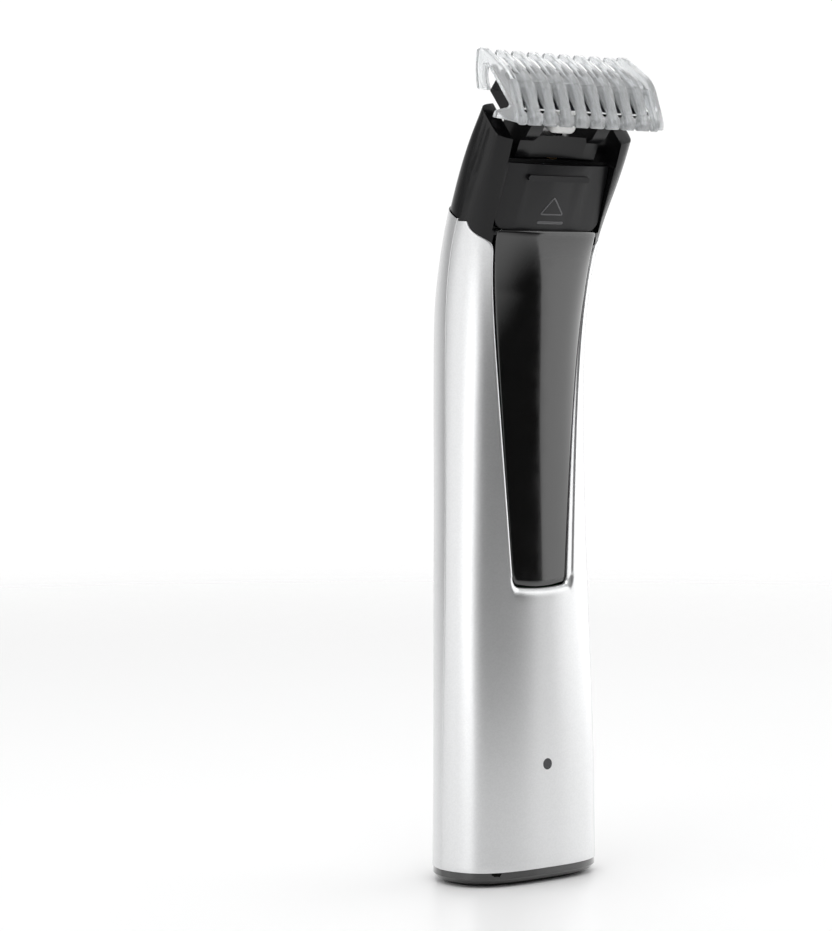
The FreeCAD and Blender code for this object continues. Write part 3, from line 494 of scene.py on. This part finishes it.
# ------------------------------------------------------------ comb guard
# (y, z) outlines in the blade plane's frame, z along the blade normal.
HEAD_TILT, HEAD_ORIGIN = 50.0, (0.0, -18.2, 160.1)
COMB_HALF, COMB_WALL, COMB_PLACES = 19.2, 1.85, 10
COMB_PITCH = (2 * COMB_HALF - COMB_WALL) / (COMB_PLACES - 1)
TOOTH_LOOP = [(9.7, 0.1), (8.9, 1.05), (-0.1, 3.75), (-8.5, 0.75), (-9.5, 0.0), (-9.4, -1.4), (-6.8, -1.2),
              (-6.4, 0.5), (0.0, 1.9), (6.9, 0.5), (9.3, -0.9)]
TOOTH_CUTS = [0.5, 0.6, 2.6, 0.7, 0.5, 0.5, 0.5, 0.6, 2.0, 1.0, 0.6]
WEB_LOOP = [(-0.8, 2.5), (-8.8, -0.2), (-9.35, -0.7), (-9.3, -1.5), (-7.4, -1.5), (-7.1, -0.6), (-6.4, 0.2),
            (-1.0, 1.6)]
RIDGE_LOOP = [(-2.3, 1.9), (-0.4, 2.6), (1.6, 2.2), (1.4, 1.4), (-2.0, 1.3)]
END_LOOP = [(9.9, 0.3), (9.0, 1.0), (-0.1, 3.75), (-8.4, 0.7), (-9.7, -0.5), (-7.1, -2.5), (-3.2, -5.7),
            (-2.7, -4.2), (-5.1, -0.8), (-4.8, -0.3), (6.1, -0.2), (6.6, -0.9), (5.0, -2.8), (2.3, -3.8),
            (4.2, -5.6), (7.6, -3.4), (10.3, -0.6)]
END_CUTS = [0.4, 0.5, 2.6, 0.7, 0.5, 1.2, 0.5, 0.4, 0.6, 0.15, 0.3, 0.4, 0.8, 0.5, 0.5, 1.2, 0.6]
WEB_CUT, RIDGE_CUT = 0.35, 0.3
TOOTH_HALF = 0.92
TOOTH_SOFT, WEB_SOFT, RIDGE_SOFT, END_SOFT = 0.42, 0.18, 0.2, 0.35
VENT_TOP, VENT_BOTTOM, VENT_HALF, VENT_FOOT = -2.9, -7.1, 0.98, 0.3
NOTCH_TOP, NOTCH_BOTTOM, NOTCH_HALF = -8.0, -9.4, 0.5
WEB_OVERLAP = 0.01


def cushioned(loop, x, half, soft, turns=6):
    """Slab along X with a rounded outline.

    The outline is carried across the slab; within soft of each side it moves
    inward along its own normal by a quarter circle, so every edge is round.
    The half thickness may differ from point to point of the outline.
    """
    area = np.sum(loop[:, 0] * np.roll(loop[:, 1], -1) - np.roll(loop[:, 0], -1) * loop[:, 1])
    half = np.broadcast_to(half, len(loop))
    if area < 0:
        loop, half = loop[::-1], half[::-1]
    ahead = np.roll(loop, -1, axis=0) - np.roll(loop, 1, axis=0)
    ahead /= np.linalg.norm(ahead, axis=1)[:, None]
    inward = np.stack([-ahead[:, 1], ahead[:, 0]], axis=-1)
    swing = np.radians(np.linspace(0, 90, turns))
    reach = np.concatenate([-np.sin(swing[::-1]), np.sin(swing)])[:, None]
    side = np.concatenate([-np.ones(turns), np.ones(turns)])[:, None]
    sink = soft * (1 - np.cos(np.concatenate([swing[::-1], swing])))[:, None, None]
    flat = loop[None] + sink * inward[None]
    across = x + side * (half - soft) + reach * soft
    points = np.concatenate([across[..., None], flat], axis=-1)
    rows, columns = points.shape[:2]
    faces = grid_faces(rows, columns, wrap_columns=True).tolist()
    faces += [list(range(columns))[::-1], list(range((rows - 1) * columns, rows * columns))]
    return points.reshape(-1, 3), faces


def web_half(y):
    """Half width of the front plate round one tooth: half the pitch, less the
    vent that widens downwards, less a notch at the scalloped lower edge."""
    vent = np.interp(y, [VENT_BOTTOM - VENT_FOOT, VENT_BOTTOM, VENT_TOP], [0, VENT_HALF, 0])
    notch = np.interp(y, [NOTCH_BOTTOM, NOTCH_TOP], [NOTCH_HALF, 0])
    return COMB_PITCH / 2 + WEB_OVERLAP - vent - notch


def joined(parts):
    """Several (points, faces) pairs as one."""
    points, faces, first = [], [], 0
    for more, quads in parts:
        points.append(more)
        faces += [[first + i for i in quad] for quad in quads]
        first += len(more)
    return np.concatenate(points), faces


# ------------------------------------------------------------ materials
class Value:
    """A socket of a material's node tree; arithmetic on it adds Math nodes."""

    def __init__(self, finish, socket):
        self.finish, self.socket = finish, socket

    def maths(self, operation, first, second):
        return self.finish.node("Math", {"operation": operation}, {0: first, 1: second})

    def __add__(self, other): return self.maths("ADD", self, other)
    def __radd__(self, other): return self.maths("ADD", other, self)
    def __sub__(self, other): return self.maths("SUBTRACT", self, other)
    def __rsub__(self, other): return self.maths("SUBTRACT", other, self)
    def __mul__(self, other): return self.maths("MULTIPLY", self, other)
    def __rmul__(self, other): return self.maths("MULTIPLY", other, self)
    def __truediv__(self, other): return self.maths("DIVIDE", self, other)
    def __pow__(self, other): return self.maths("POWER", self, other)


class Finish:
    """A node material: a Principled shader and the nodes that feed it."""

    def __init__(self, name, **uniform):
        self.material = bpy.data.materials.new(name)
        self.material.use_nodes = True
        self.tree = self.material.node_tree
        self.shader = self.tree.nodes["Principled BSDF"]
        for key, value in uniform.items():
            self.shader.inputs[key.replace("_", " ")].default_value = value

    def node(self, kind, settings=None, sockets=None, output=0):
        """Add a node of a kind: settings first, then values or links of its sockets."""
        made = self.tree.nodes.new("ShaderNode" + kind)
        for key, value in (settings or {}).items():
            setattr(made, key, value)
        for key, value in (sockets or {}).items():
            if isinstance(value, Value):
                self.tree.links.new(value.socket, made.inputs[key])
            else:
                made.inputs[key].default_value = value
        return Value(self, made.outputs[output])

    def place(self, stretch=(1, 1, 1)):
        spot = self.node("TexCoord", output="Object")
        return self.node("VectorMath", {"operation": "MULTIPLY"}, {0: spot, 1: stretch})

    def noise(self, scale, detail=2.0, roughness=0.5, stretch=(1, 1, 1)):
        return self.node("TexNoise", None, {"Vector": self.place(stretch), "Scale": scale, "Detail": detail,
                                            "Roughness": roughness}, "Fac")

    def cells(self, scale):
        """A random brightness for each cell of a Voronoi pattern."""
        colour = self.node("TexVoronoi", None, {"Vector": self.place(), "Scale": scale}, "Color")
        return self.node("SeparateXYZ", None, {0: colour}, "X")

    def step(self, value, low, high, start=0.0, end=1.0):
        return self.node("MapRange", {"interpolation_type": "SMOOTHSTEP"},
                         {"Value": value, "From Min": low, "From Max": high, "To Min": start, "To Max": end})

    def blend(self, share, first, second):
        return self.node("Mix", {"data_type": "RGBA"}, {0: share, 6: first, 7: second}, 2)

    def bump(self, height, distance, strength=1.0):
        return self.node("Bump", None, {"Height": height, "Distance": distance, "Strength": strength}, "Normal")

    def feed(self, **links):
        """Link values to the shader's sockets and hand back the material."""
        for key, value in links.items():
            self.tree.links.new(value.socket, self.shader.inputs[key.replace("_", " ")])
        return self.material


def rgba(colour, gain=1.0):
    return tuple(min(1.0, c * gain) for c in colour[:3]) + (1.0,)


def metallic_paint(name, colour):
    """Silver paint: fine metal flakes of differing brightness under a clear coat."""
    f = Finish(name, Coat_Roughness=0.12, Coat_IOR=1.5)
    flakes = f.cells(3400)
    drift = f.noise(60, 3)
    base = f.blend(f.step(flakes + drift * 0.3, 0.2, 1.1), rgba(colour, 0.98), rgba(colour, 1.02))
    return f.feed(Base_Color=base, Metallic=0.86 + flakes * 0.02, Roughness=0.27 + f.noise(1500) * 0.05,
                  Coat_Weight=0.22 + drift * 0.1, Normal=f.bump(f.cells(2600), 0.000002, 0.12))


def gloss_plastic(name, colour):
    """Piano-black plastic: deep colour, a hard clear surface and faint handling haze."""
    f = Finish(name, Coat_Roughness=0.03, Coat_IOR=1.6, Specular_IOR_Level=0.5)
    haze = f.noise(220, 4, 0.6)
    return f.feed(Base_Color=f.blend(haze, rgba(colour, 0.8), rgba(colour, 1.4)),
                  Roughness=f.step(haze, 0.3, 0.8, 0.05, 0.11), Coat_Weight=0.85 + haze * 0.1,
                  Normal=f.bump(f.noise(90, 1), 0.00002, 0.15))


def satin_plastic(name, colour, roughness=0.42, grain=5200, depth=0.000012, gloss=0.5):
    """Moulded satin plastic: spark-eroded grain and slightly shinier worn patches."""
    f = Finish(name, Specular_IOR_Level=gloss)
    fine, wear = f.noise(grain, 2, 0.6), f.noise(140, 3)
    return f.feed(Base_Color=f.blend(fine * 0.7 + wear * 0.3, rgba(colour, 0.75), rgba(colour, 1.3)),
                  Roughness=roughness + 0.10 * fine - 0.06 * wear, Normal=f.bump(fine, depth, 0.8))


def knurled_rubber(name, colour):
    """Grip rubber: a fine random grain on the diamond tops, and painted shade that darkens the grooves."""
    f = Finish(name, Specular_IOR_Level=0.4)
    groove = f.node("Attribute", {"attribute_name": "groove"}, output="Fac")
    fine = f.noise(4200, 3, 0.6)
    top = f.blend(fine, rgba(colour, 0.85), rgba(colour, 1.25))
    # Painted shade: the groove depth darkens the colour to a tenth in the grooves; the grooves are also
    # rougher.
    return f.feed(Base_Color=f.blend(f.step(groove, 0.02, 0.7), top, rgba(colour, 0.1)),
                  Roughness=0.5 + groove * 0.3 + fine * 0.08, Normal=f.bump(fine, 0.00001, 0.6))


def rubber(name, colour):
    """Plain soft rubber with a dull mottled skin."""
    f = Finish(name, Specular_IOR_Level=0.35)
    fine, cloud = f.noise(3000, 4, 0.65), f.noise(120, 2)
    return f.feed(Base_Color=f.blend(cloud, rgba(colour, 0.7), rgba(colour, 1.3)),
                  Roughness=0.66 + 0.16 * fine, Normal=f.bump(fine, 0.00002, 0.7))


def brushed_metal(name, colour, roughness=0.25, stretch=(1, 12, 12), scale=700, contrast=0.2):
    """Metal with a fine grinding direction: a noise drawn out along one axis."""
    f = Finish(name)
    grain = f.noise(scale, 4, 0.7, stretch)
    tarnish = f.noise(90, 3)
    worn = grain * 0.6 + tarnish * 0.4
    return f.feed(Base_Color=f.blend(worn, rgba(colour, 1 - contrast), rgba(colour, 1 + contrast)),
                  Metallic=0.94 + 0.05 * grain, Roughness=roughness + 0.14 * grain + 0.05 * tarnish,
                  Normal=f.bump(grain, 0.000005, 0.5))


def clear_plastic(name, colour, roughness=0.05):
    """Milky clear moulding: mostly see-through with a faint haze and flow marks."""
    f = Finish(name, IOR=1.47, Transmission_Weight=0.74)
    flow = f.noise(90, 3, 0.5, (1, 1, 3))
    fine = f.noise(2600, 2)
    return f.feed(Base_Color=f.blend(flow, rgba(colour, 1.0), rgba(colour, 1.06)),
                  Roughness=roughness + 0.06 * flow + 0.02 * fine, Normal=f.bump(flow, 0.00003, 0.2))


def board_material(name, colour):
    """Solder mask with buried copper tracks: lighter stripes bent by a noise."""
    f = Finish(name)
    tracks = f.node("TexWave", {"wave_type": "BANDS"}, {"Vector": f.place(), "Scale": 420.0, "Distortion": 6.0,
                                                        "Detail": 2.0, "Detail Scale": 1.5}, "Fac")
    lifted = f.step(tracks, 0.55, 0.7)
    return f.feed(Base_Color=f.blend(lifted, rgba(colour, 0.7), rgba(colour, 1.7)),
                  Roughness=0.35 + 0.15 * f.noise(800), Normal=f.bump(lifted, 0.00003, 0.5))


def pale_floor(name, colour):
    """Studio floor: off-white, slightly shiny, fading into the backdrop far away."""
    f = Finish(name, Specular_IOR_Level=0.35)
    spot = f.node("TexCoord", output="Object")
    away = f.node("VectorMath", {"operation": "LENGTH"}, {0: spot}, "Value")
    mottle = f.noise(9, 3)
    return f.feed(Base_Color=f.blend(mottle, rgba(colour, 0.985), rgba(colour, 1.0)),
                  Roughness=0.32 + 0.06 * mottle, Alpha=f.step(away, 0.32, 0.85, 1.0, 0.0))


# ------------------------------------------------------------ settings
class TrimmerSizes(bpy.types.PropertyGroup):
    """Sizes that a user may change before building."""
    lip: bpy.props.FloatProperty(name="Window lip", description="Rounding of the silver window edge",
                                 default=0.4 * MM, min=0, unit="LENGTH")
    low_lip: bpy.props.FloatProperty(name="Lower lip", description="Rounding at the window's lower end",
                                     default=2.0 * MM, min=0, unit="LENGTH")
    seam: bpy.props.FloatProperty(name="Seam rounding", description="Rounding along the parting line",
                                  default=0.12 * MM, min=0, unit="LENGTH")
    corner: bpy.props.FloatProperty(name="Corner rounding", description="Rounded corners of moulded parts",
                                    default=0.18 * MM, min=0, unit="LENGTH")
    mark: bpy.props.FloatProperty(name="Mark width", description="Half width of the raised slide mark",
                                  default=0.16 * MM, min=0, unit="LENGTH")


def tint(name, description, default):
    return bpy.props.FloatVectorProperty(name=name, description=description, subtype="COLOR", size=3,
                                         min=0, max=1, default=default)


class TrimmerColours(bpy.types.PropertyGroup):
    """Base colours of the finishes."""
    silver: tint("Silver paint", "Colour of the two shells", (0.74, 0.745, 0.75))
    gloss: tint("Gloss black", "Front insert and base cap", (0.003, 0.003, 0.003))
    satin: tint("Satin black", "Neck, slide and head", (0.004, 0.004, 0.0045))
    grip: tint("Grip rubber", "Ribbed thumb grip", (0.10, 0.101, 0.103))
    sole: tint("Sole rubber", "Foot and seals", (0.016, 0.016, 0.017))
    blade: tint("Blade steel", "Blackened blades", (0.05, 0.05, 0.055))
    comb: tint("Comb", "Clear comb guard", (0.93, 0.95, 0.97))
    floor: tint("Floor", "Studio floor", (0.93, 0.93, 0.93))


FINISHES = {}


def finish_for(slot, colours):
    """The material of one of the record's slots, made once."""
    makers = {
        "silver_paint": lambda: metallic_paint("silver_paint", colours.silver),
        "gloss_black": lambda: gloss_plastic("gloss_black", colours.gloss),
        "black_plastic": lambda: satin_plastic("black_plastic", colours.satin, 0.2, 5200, 0.000004, 0.3),
        "slide_plastic": lambda: satin_plastic("slide_plastic", (0.007, 0.007, 0.008), 0.34, gloss=0.32),
        "grip_rubber": lambda: knurled_rubber("grip_rubber", colours.grip),
        "sole_rubber": lambda: rubber("sole_rubber", colours.sole),
        "black_steel": lambda: brushed_metal("black_steel", colours.blade, 0.3, (12, 1, 1), 900, 0.3),
        "bright_steel": lambda: brushed_metal("bright_steel", (0.72, 0.72, 0.73), 0.2, (1, 14, 14)),
        "white_plastic": lambda: satin_plastic("white_plastic", (0.78, 0.78, 0.76), 0.35, 3000),
        "clear_plastic": lambda: clear_plastic("clear_plastic", colours.comb),
        "lens_plastic": lambda: satin_plastic("lens_plastic", (0.045, 0.045, 0.05), 0.22, 2500, 0.000003),
        "inner_plastic": lambda: satin_plastic("inner_plastic", (0.06, 0.06, 0.065), 0.5, 2600),
        "board_green": lambda: board_material("board_green", (0.02, 0.12, 0.05)),
        "chip_black": lambda: satin_plastic("chip_black", (0.02, 0.02, 0.02), 0.55, 4000),
        "led_body": lambda: satin_plastic("led_body", (0.8, 0.82, 0.75), 0.2, 1500),
        "cell_sleeve": lambda: satin_plastic("cell_sleeve", (0.05, 0.16, 0.34), 0.3, 1400),
        "nickel": lambda: brushed_metal("nickel", (0.66, 0.63, 0.58), 0.28, (14, 1, 1)),
        "motor_steel": lambda: brushed_metal("motor_steel", (0.55, 0.55, 0.56), 0.3, (1, 1, 14)),
        "bronze": lambda: brushed_metal("bronze", (0.60, 0.40, 0.18), 0.3, (1, 1, 9)),
        "magnet": lambda: satin_plastic("magnet", (0.04, 0.04, 0.045), 0.6, 3500),
        "lead_insulation": lambda: satin_plastic("lead_insulation", (0.45, 0.03, 0.02), 0.4, 2500),
        # The raised slide marks are moulded in the slide's own black; this lighter grey is a painted highlight
        # for the light caught along their edges.
        "mark_painted_highlight": lambda: satin_plastic("mark_painted_highlight", (0.11, 0.11, 0.115), 0.35, 2000),
        "floor": lambda: pale_floor("floor", colours.floor),
    }
    if slot not in FINISHES:
        FINISHES[slot] = makers[slot]()
    return FINISHES[slot]


# ------------------------------------------------------------ operators
class Build:
    """What every building operator shares."""
    bl_options = {"REGISTER", "UNDO"}

    def execute(self, context):
        """Make the operator's pieces with the scene's sizes and colours."""
        self.build(context.scene.trimmer_sizes, context.scene.trimmer_colours)
        return {"FINISHED"}


class TRIMMER_OT_shells(Build, bpy.types.Operator):
    """Two silver shells with rounded window lips"""
    bl_idname = "trimmer.shells"
    bl_label = "Silver shells"

    def build(self, sizes, colours):
        paint = finish_for("silver_paint", colours)
        lip, low, seam = sizes.lip / MM, sizes.low_lip / MM, sizes.seam / MM
        shell(FRONT, FRONT_EDGE, FRONT_EAR, WINDOW_BOTTOM, lip, low, seam, paint, "front_shell", "shell_front")
        shell(REAR, REAR_EDGE, REAR_EAR, GRIP_BOTTOM, lip, REAR_LOW_LIP, seam, paint, "rear_shell",
              "shell_rear")


class TRIMMER_OT_insert(Build, bpy.types.Operator):
    """Gloss insert of the front window"""
    bl_idname = "trimmer.insert"
    bl_label = "Front insert"

    def build(self, sizes, colours):
        half = panel_outline(FRONT_EDGE, WINDOW_BOTTOM + FIT, lambda z: INSERT_LIMIT)
        points, faces, _ = panel(FRONT, half, WINDOW_BOTTOM + FIT, INSERT_TOP, sunk_front, INSERT_THICK,
                                 INSERT_ROUND, INSERT_GRID)
        add_piece("front_panel", points, faces, "handle", finish_for("gloss_black", colours),
                  ("front_insert",))


class TRIMMER_OT_grip(Build, bpy.types.Operator):
    """Rubber thumb grip with its diamond knurl"""
    bl_idname = "trimmer.grip"
    bl_label = "Thumb grip"

    def build(self, sizes, colours):
        def limit(z):
            return np.interp(z, [GRIP_BOTTOM, *[r[0] for r in GRIP_RISE]],
                             [GRIP_RISE[0][1], *[r[1] for r in GRIP_RISE]])
        half = panel_outline(REAR_EDGE + [GRIP_RISE[1][::-1]], GRIP_BOTTOM + FIT, limit)
        points, faces, groove = panel(REAR, half, GRIP_BOTTOM + FIT, GRIP_TOP, flush_grip, GRIP_THICK,
                                      GRIP_ROUND, GRIP_GRID, knurl)
        # The groove depth also drives the painted shade in the grooves of the grip's finish.
        add_piece("grip_pad", points, faces, "handle", finish_for("grip_rubber", colours),
                  ("thumb_grip",), values={"groove": groove})


class TRIMMER_OT_base(Build, bpy.types.Operator):
    """Base cap, foot and indicator lens"""
    bl_idname = "trimmer.base"
    bl_label = "Base"

    def build(self, sizes, colours):
        width = sizes.corner / MM
        softened_copy("base_cap", finish_for("gloss_black", colours), width)
        softened_copy("base_foot", finish_for("sole_rubber", colours), width)
        softened_copy("led_lens", finish_for("lens_plastic", colours),
                      SMALL_CORNERS["led_lens"])


class TRIMMER_OT_neck(Build, bpy.types.Operator):
    """Black fork that holds the head"""
    bl_idname = "trimmer.neck"
    bl_label = "Neck"

    def build(self, sizes, colours):
        softened_copy("neck_frame", finish_for("black_plastic", colours), sizes.corner / MM)


class TRIMMER_OT_slide(Build, bpy.types.Operator):
    """Thumb slide with its bar and raised mark"""
    bl_idname = "trimmer.slide"
    bl_label = "Thumb slide"

    def build(self, sizes, colours):
        softened_copy("switch_plate", finish_for("slide_plastic", colours), SWITCH_ROUND, 3)
        for name, corners, round_off in SLIDE_MARKS:
            ring = bead(slide_outline(corners, round_off), sizes.mark / MM, MARK_SQUASH)
            points = in_tilted(ring, SWITCH_TILT, SWITCH_ORIGIN)
            faces = grid_faces(*points.shape[:2], wrap_rows=True, wrap_columns=True)
            # The marks' lighter grey is a painted highlight on the raised bead, not a paint of their own.
            add_piece(name, points.reshape(-1, 3), faces, "slider", finish_for("mark_painted_highlight", colours))


class TRIMMER_OT_head(Build, bpy.types.Operator):
    """Cartridge, blades and what drives them"""
    bl_idname = "trimmer.head"
    bl_label = "Cutting head"

    def build(self, sizes, colours):
        width = sizes.corner / MM
        for node in ("cartridge_body", "end_cap_left", "end_cap_right"):
            softened_copy(node, finish_for("black_plastic", colours), width)
        for node, slot, segments in (("fixed_blade", "black_steel", 1), ("moving_blade", "black_steel", 1),
                                     ("edge_strips", "bright_steel", 2), ("drive_yoke", "white_plastic", 2),
                                     ("yoke_pin", "bright_steel", 2)):
            softened_copy(node, finish_for(slot, colours), SMALL_CORNERS[node], segments)


class TRIMMER_OT_comb(Build, bpy.types.Operator):
    """Clear comb guard: teeth, the plate between them, ridge bar and end walls"""
    bl_idname = "trimmer.comb"
    bl_label = "Comb guard"

    def build(self, sizes, colours):
        clear = finish_for("clear_plastic", colours)
        tooth = evenly(rounded_loop(TOOTH_LOOP, TOOTH_CUTS), 110)
        web = evenly(rounded_loop(WEB_LOOP, WEB_CUT), 130)
        wide = web_half(web[:, 0])
        end = evenly(rounded_loop(END_LOOP, END_CUTS), 190)
        ridge = evenly(rounded_loop(RIDGE_LOOP, RIDGE_CUT), 50)
        places = -COMB_HALF + COMB_WALL / 2 + COMB_PITCH * np.arange(COMB_PLACES)
        inner, walls = places[1:-1], places[[0, -1]]
        beside = walls * (1 - COMB_PITCH / 4 / COMB_HALF)
        groups = (("comb_teeth", [cushioned(tooth, x, TOOTH_HALF, TOOTH_SOFT) for x in inner]),
                  ("comb_webs", [cushioned(web, x, wide, WEB_SOFT) for x in inner]),
                  ("comb_ridge", [cushioned(ridge, 0.0, COMB_HALF - COMB_WALL, RIDGE_SOFT)]),
                  ("comb_ends", [cushioned(end, x, COMB_WALL / 2, END_SOFT) for x in walls]
                   + [cushioned(web, x, wide / 2, WEB_SOFT) for x in beside]))
        for name, parts in groups:
            points, faces = joined(parts)
            add_piece(name, in_tilted(points, HEAD_TILT, HEAD_ORIGIN), faces, "comb", clear,
                      ("comb_guard",))


class TRIMMER_OT_works(Build, bpy.types.Operator):
    """Finishes for the motor, battery, board and other inner parts"""
    bl_idname = "trimmer.works"
    bl_label = "Inner works"

    def build(self, sizes, colours):
        slots = {part["node"]: part["material_slot"] for part in frame["record"]["subparts"]}
        for name, node in NODES.items():
            if not node.hide_render:
                dress(name, finish_for(slots[name], colours))


# ------------------------------------------------------------ stage
# Name, compass angle, height angle, distance, width, height, power.
LIGHTS = (("right_light", 74, 6, 0.9, 1.22, 1.2, 6.3),
          ("left_light", 261, 6, 0.9, 1.5, 1.1, 5.8),
          ("top_light", 320, 75, 0.8, 0.5, 0.5, 2.2))
MIDDLE = (0, 0, 0.09)
EYE, LENS, TURN, DOWN = (-0.3857, -0.4596, 0.115), 113.2, 1.917, 2.912
FLOOR_RADIUS, FLOOR_RINGS, FLOOR_SPOKES = 2500.0, 26, 72
# The air's brightness by direction: overhead, behind the trimmer and at its left; white to the camera.
BEHIND, BESIDE = (0.643, 0.766, 0.0), (-0.94, -0.342, 0.0)
OVERHEAD_GLOW, BEHIND_GLOW, DIM_FRONT, BESIDE_GLOW, SEEN_WHITE = 0.55, 0.95, 0.03, 0.7, 1.02


def aim(thing, target):
    """Turn a light so that it shines at a point."""
    thing.rotation_euler = (Vector(target) - thing.location).to_track_quat("-Z", "Y").to_euler()


def soft_box(name, azimuth, elevation, distance, width, height, power):
    """Rectangular soft light at a compass angle about the trimmer's middle."""
    lamp = bpy.data.lights.new(name, "AREA")
    lamp.shape, lamp.size, lamp.size_y, lamp.energy = "RECTANGLE", width, height, power
    holder = bpy.data.objects.new(name, lamp)
    a, e = math.radians(azimuth), math.radians(elevation)
    holder.location = (distance * math.sin(a) * math.cos(e), -distance * math.cos(a) * math.cos(e),
                       MIDDLE[2] + distance * math.sin(e))
    bpy.context.scene.collection.objects.link(holder)
    aim(holder, MIDDLE)


def backdrop_light(world):
    """Studio air: dim at the sides, bright overhead and behind the trimmer, by direction alone."""
    world.use_nodes = True
    tree = world.node_tree
    ground = tree.nodes["Background"]

    def node(kind, settings, sockets, output=0):
        made = tree.nodes.new("ShaderNode" + kind)
        for key, value in settings.items():
            setattr(made, key, value)
        for key, value in sockets.items():
            if isinstance(value, bpy.types.NodeSocket):
                tree.links.new(value, made.inputs[key])
            else:
                made.inputs[key].default_value = value
        return made.outputs[output]

    def glow(value, low, high, start, end):
        return node("MapRange", {"interpolation_type": "SMOOTHSTEP"},
                    {"Value": value, "From Min": low, "From Max": high, "To Min": start, "To Max": end})

    def towards(direction):
        return node("VectorMath", {"operation": "DOT_PRODUCT"}, {0: ray, 1: direction}, "Value")

    def total(first, second):
        return node("Math", {"operation": "ADD"}, {0: first, 1: second})

    ray = node("TexCoord", {}, {}, "Generated")
    up = node("SeparateXYZ", {}, {0: ray}, "Z")
    sides = total(glow(towards(BEHIND), 0.05, 0.95, DIM_FRONT, BEHIND_GLOW),
                  glow(towards(BESIDE), 0.84, 1.0, 0.0, BESIDE_GLOW))
    studio = total(glow(up, 0.12, 0.8, 0.0, OVERHEAD_GLOW), sides)
    seen = node("LightPath", {}, {}, "Is Camera Ray")
    strength = node("Mix", {"data_type": "FLOAT"}, {0: seen, 2: studio, 3: SEEN_WHITE})
    tree.links.new(strength, ground.inputs["Strength"])
    ground.inputs["Color"].default_value = (1.0, 1.0, 1.0, 1.0)


class TRIMMER_OT_stage(Build, bpy.types.Operator):
    """Floor, lights and camera"""
    bl_idname = "trimmer.stage"
    bl_label = "Stage"

    def build(self, sizes, colours):
        scene = bpy.context.scene
        ring = np.linspace(0, FLOOR_RADIUS, FLOOR_RINGS)[:, None]
        turn = np.linspace(0, 2 * math.pi, FLOOR_SPOKES, endpoint=False)[None]
        disc = np.stack([ring * np.cos(turn), ring * np.sin(turn), np.zeros((FLOOR_RINGS, FLOOR_SPOKES))],
                        axis=-1)
        mesh = bpy.data.meshes.new("floor")
        mesh.from_pydata((disc.reshape(-1, 3) * MM).tolist(), [],
                         grid_faces(FLOOR_RINGS, FLOOR_SPOKES, wrap_columns=True).tolist())
        mesh.materials.append(finish_for("floor", colours))
        floor = bpy.data.objects.new("floor", mesh)
        scene.collection.objects.link(floor)
        for light in LIGHTS:
            soft_box(*light)
        scene.world = scene.world or bpy.data.worlds.new("studio")
        backdrop_light(scene.world)
        scene.view_settings.view_transform = "Standard"
        camera = bpy.data.cameras.new("camera")
        camera.lens, camera.sensor_width, camera.clip_start = LENS, 36.0, 0.01
        eye = bpy.data.objects.new("camera", camera)
        eye.location = EYE
        away = math.atan2(-EYE[1], -EYE[0]) + math.radians(TURN)
        down = math.radians(DOWN)
        look = Vector((math.cos(away) * math.cos(down), math.sin(away) * math.cos(down), -math.sin(down)))
        eye.rotation_euler = look.to_track_quat("-Z", "Y").to_euler()
        scene.collection.objects.link(eye)
        scene.camera = eye


OPERATORS = (TRIMMER_OT_shells, TRIMMER_OT_insert, TRIMMER_OT_grip, TRIMMER_OT_base, TRIMMER_OT_neck,
             TRIMMER_OT_slide, TRIMMER_OT_head, TRIMMER_OT_comb, TRIMMER_OT_works, TRIMMER_OT_stage)


class TRIMMER_PT_sidebar(bpy.types.Panel):
    """Lists the sizes, the colours and a button for each group of pieces"""
    bl_idname = "TRIMMER_PT_sidebar"
    bl_label = "Beard trimmer"
    bl_space_type = "VIEW_3D"
    bl_region_type = "UI"
    bl_category = "Trimmer"

    def draw(self, context):
        for group in (context.scene.trimmer_sizes, context.scene.trimmer_colours):
            column = self.layout.column()
            for key in group.__annotations__:
                column.prop(group, key)
        for operator in OPERATORS:
            self.layout.operator(operator.bl_idname)


CLASSES = (TrimmerSizes, TrimmerColours, *OPERATORS, TRIMMER_PT_sidebar)


def register():
    for cls in CLASSES:
        bpy.utils.register_class(cls)
    bpy.types.Scene.trimmer_sizes = bpy.props.PointerProperty(type=TrimmerSizes)
    bpy.types.Scene.trimmer_colours = bpy.props.PointerProperty(type=TrimmerColours)


def unregister():
    del bpy.types.Scene.trimmer_colours
    del bpy.types.Scene.trimmer_sizes
    for cls in reversed(CLASSES):
        bpy.utils.unregister_class(cls)


def corners(box):
    """A box's lowest and highest corner as plain lists."""
    return [[float(v) for v in corner] for corner in box]


def main():
    """Register the add-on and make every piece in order."""
    register()
    for operator in OPERATORS:
        group, name = operator.bl_idname.split(".")
        getattr(getattr(bpy.ops, group), name)()


if __name__ == "__main__":
    main()
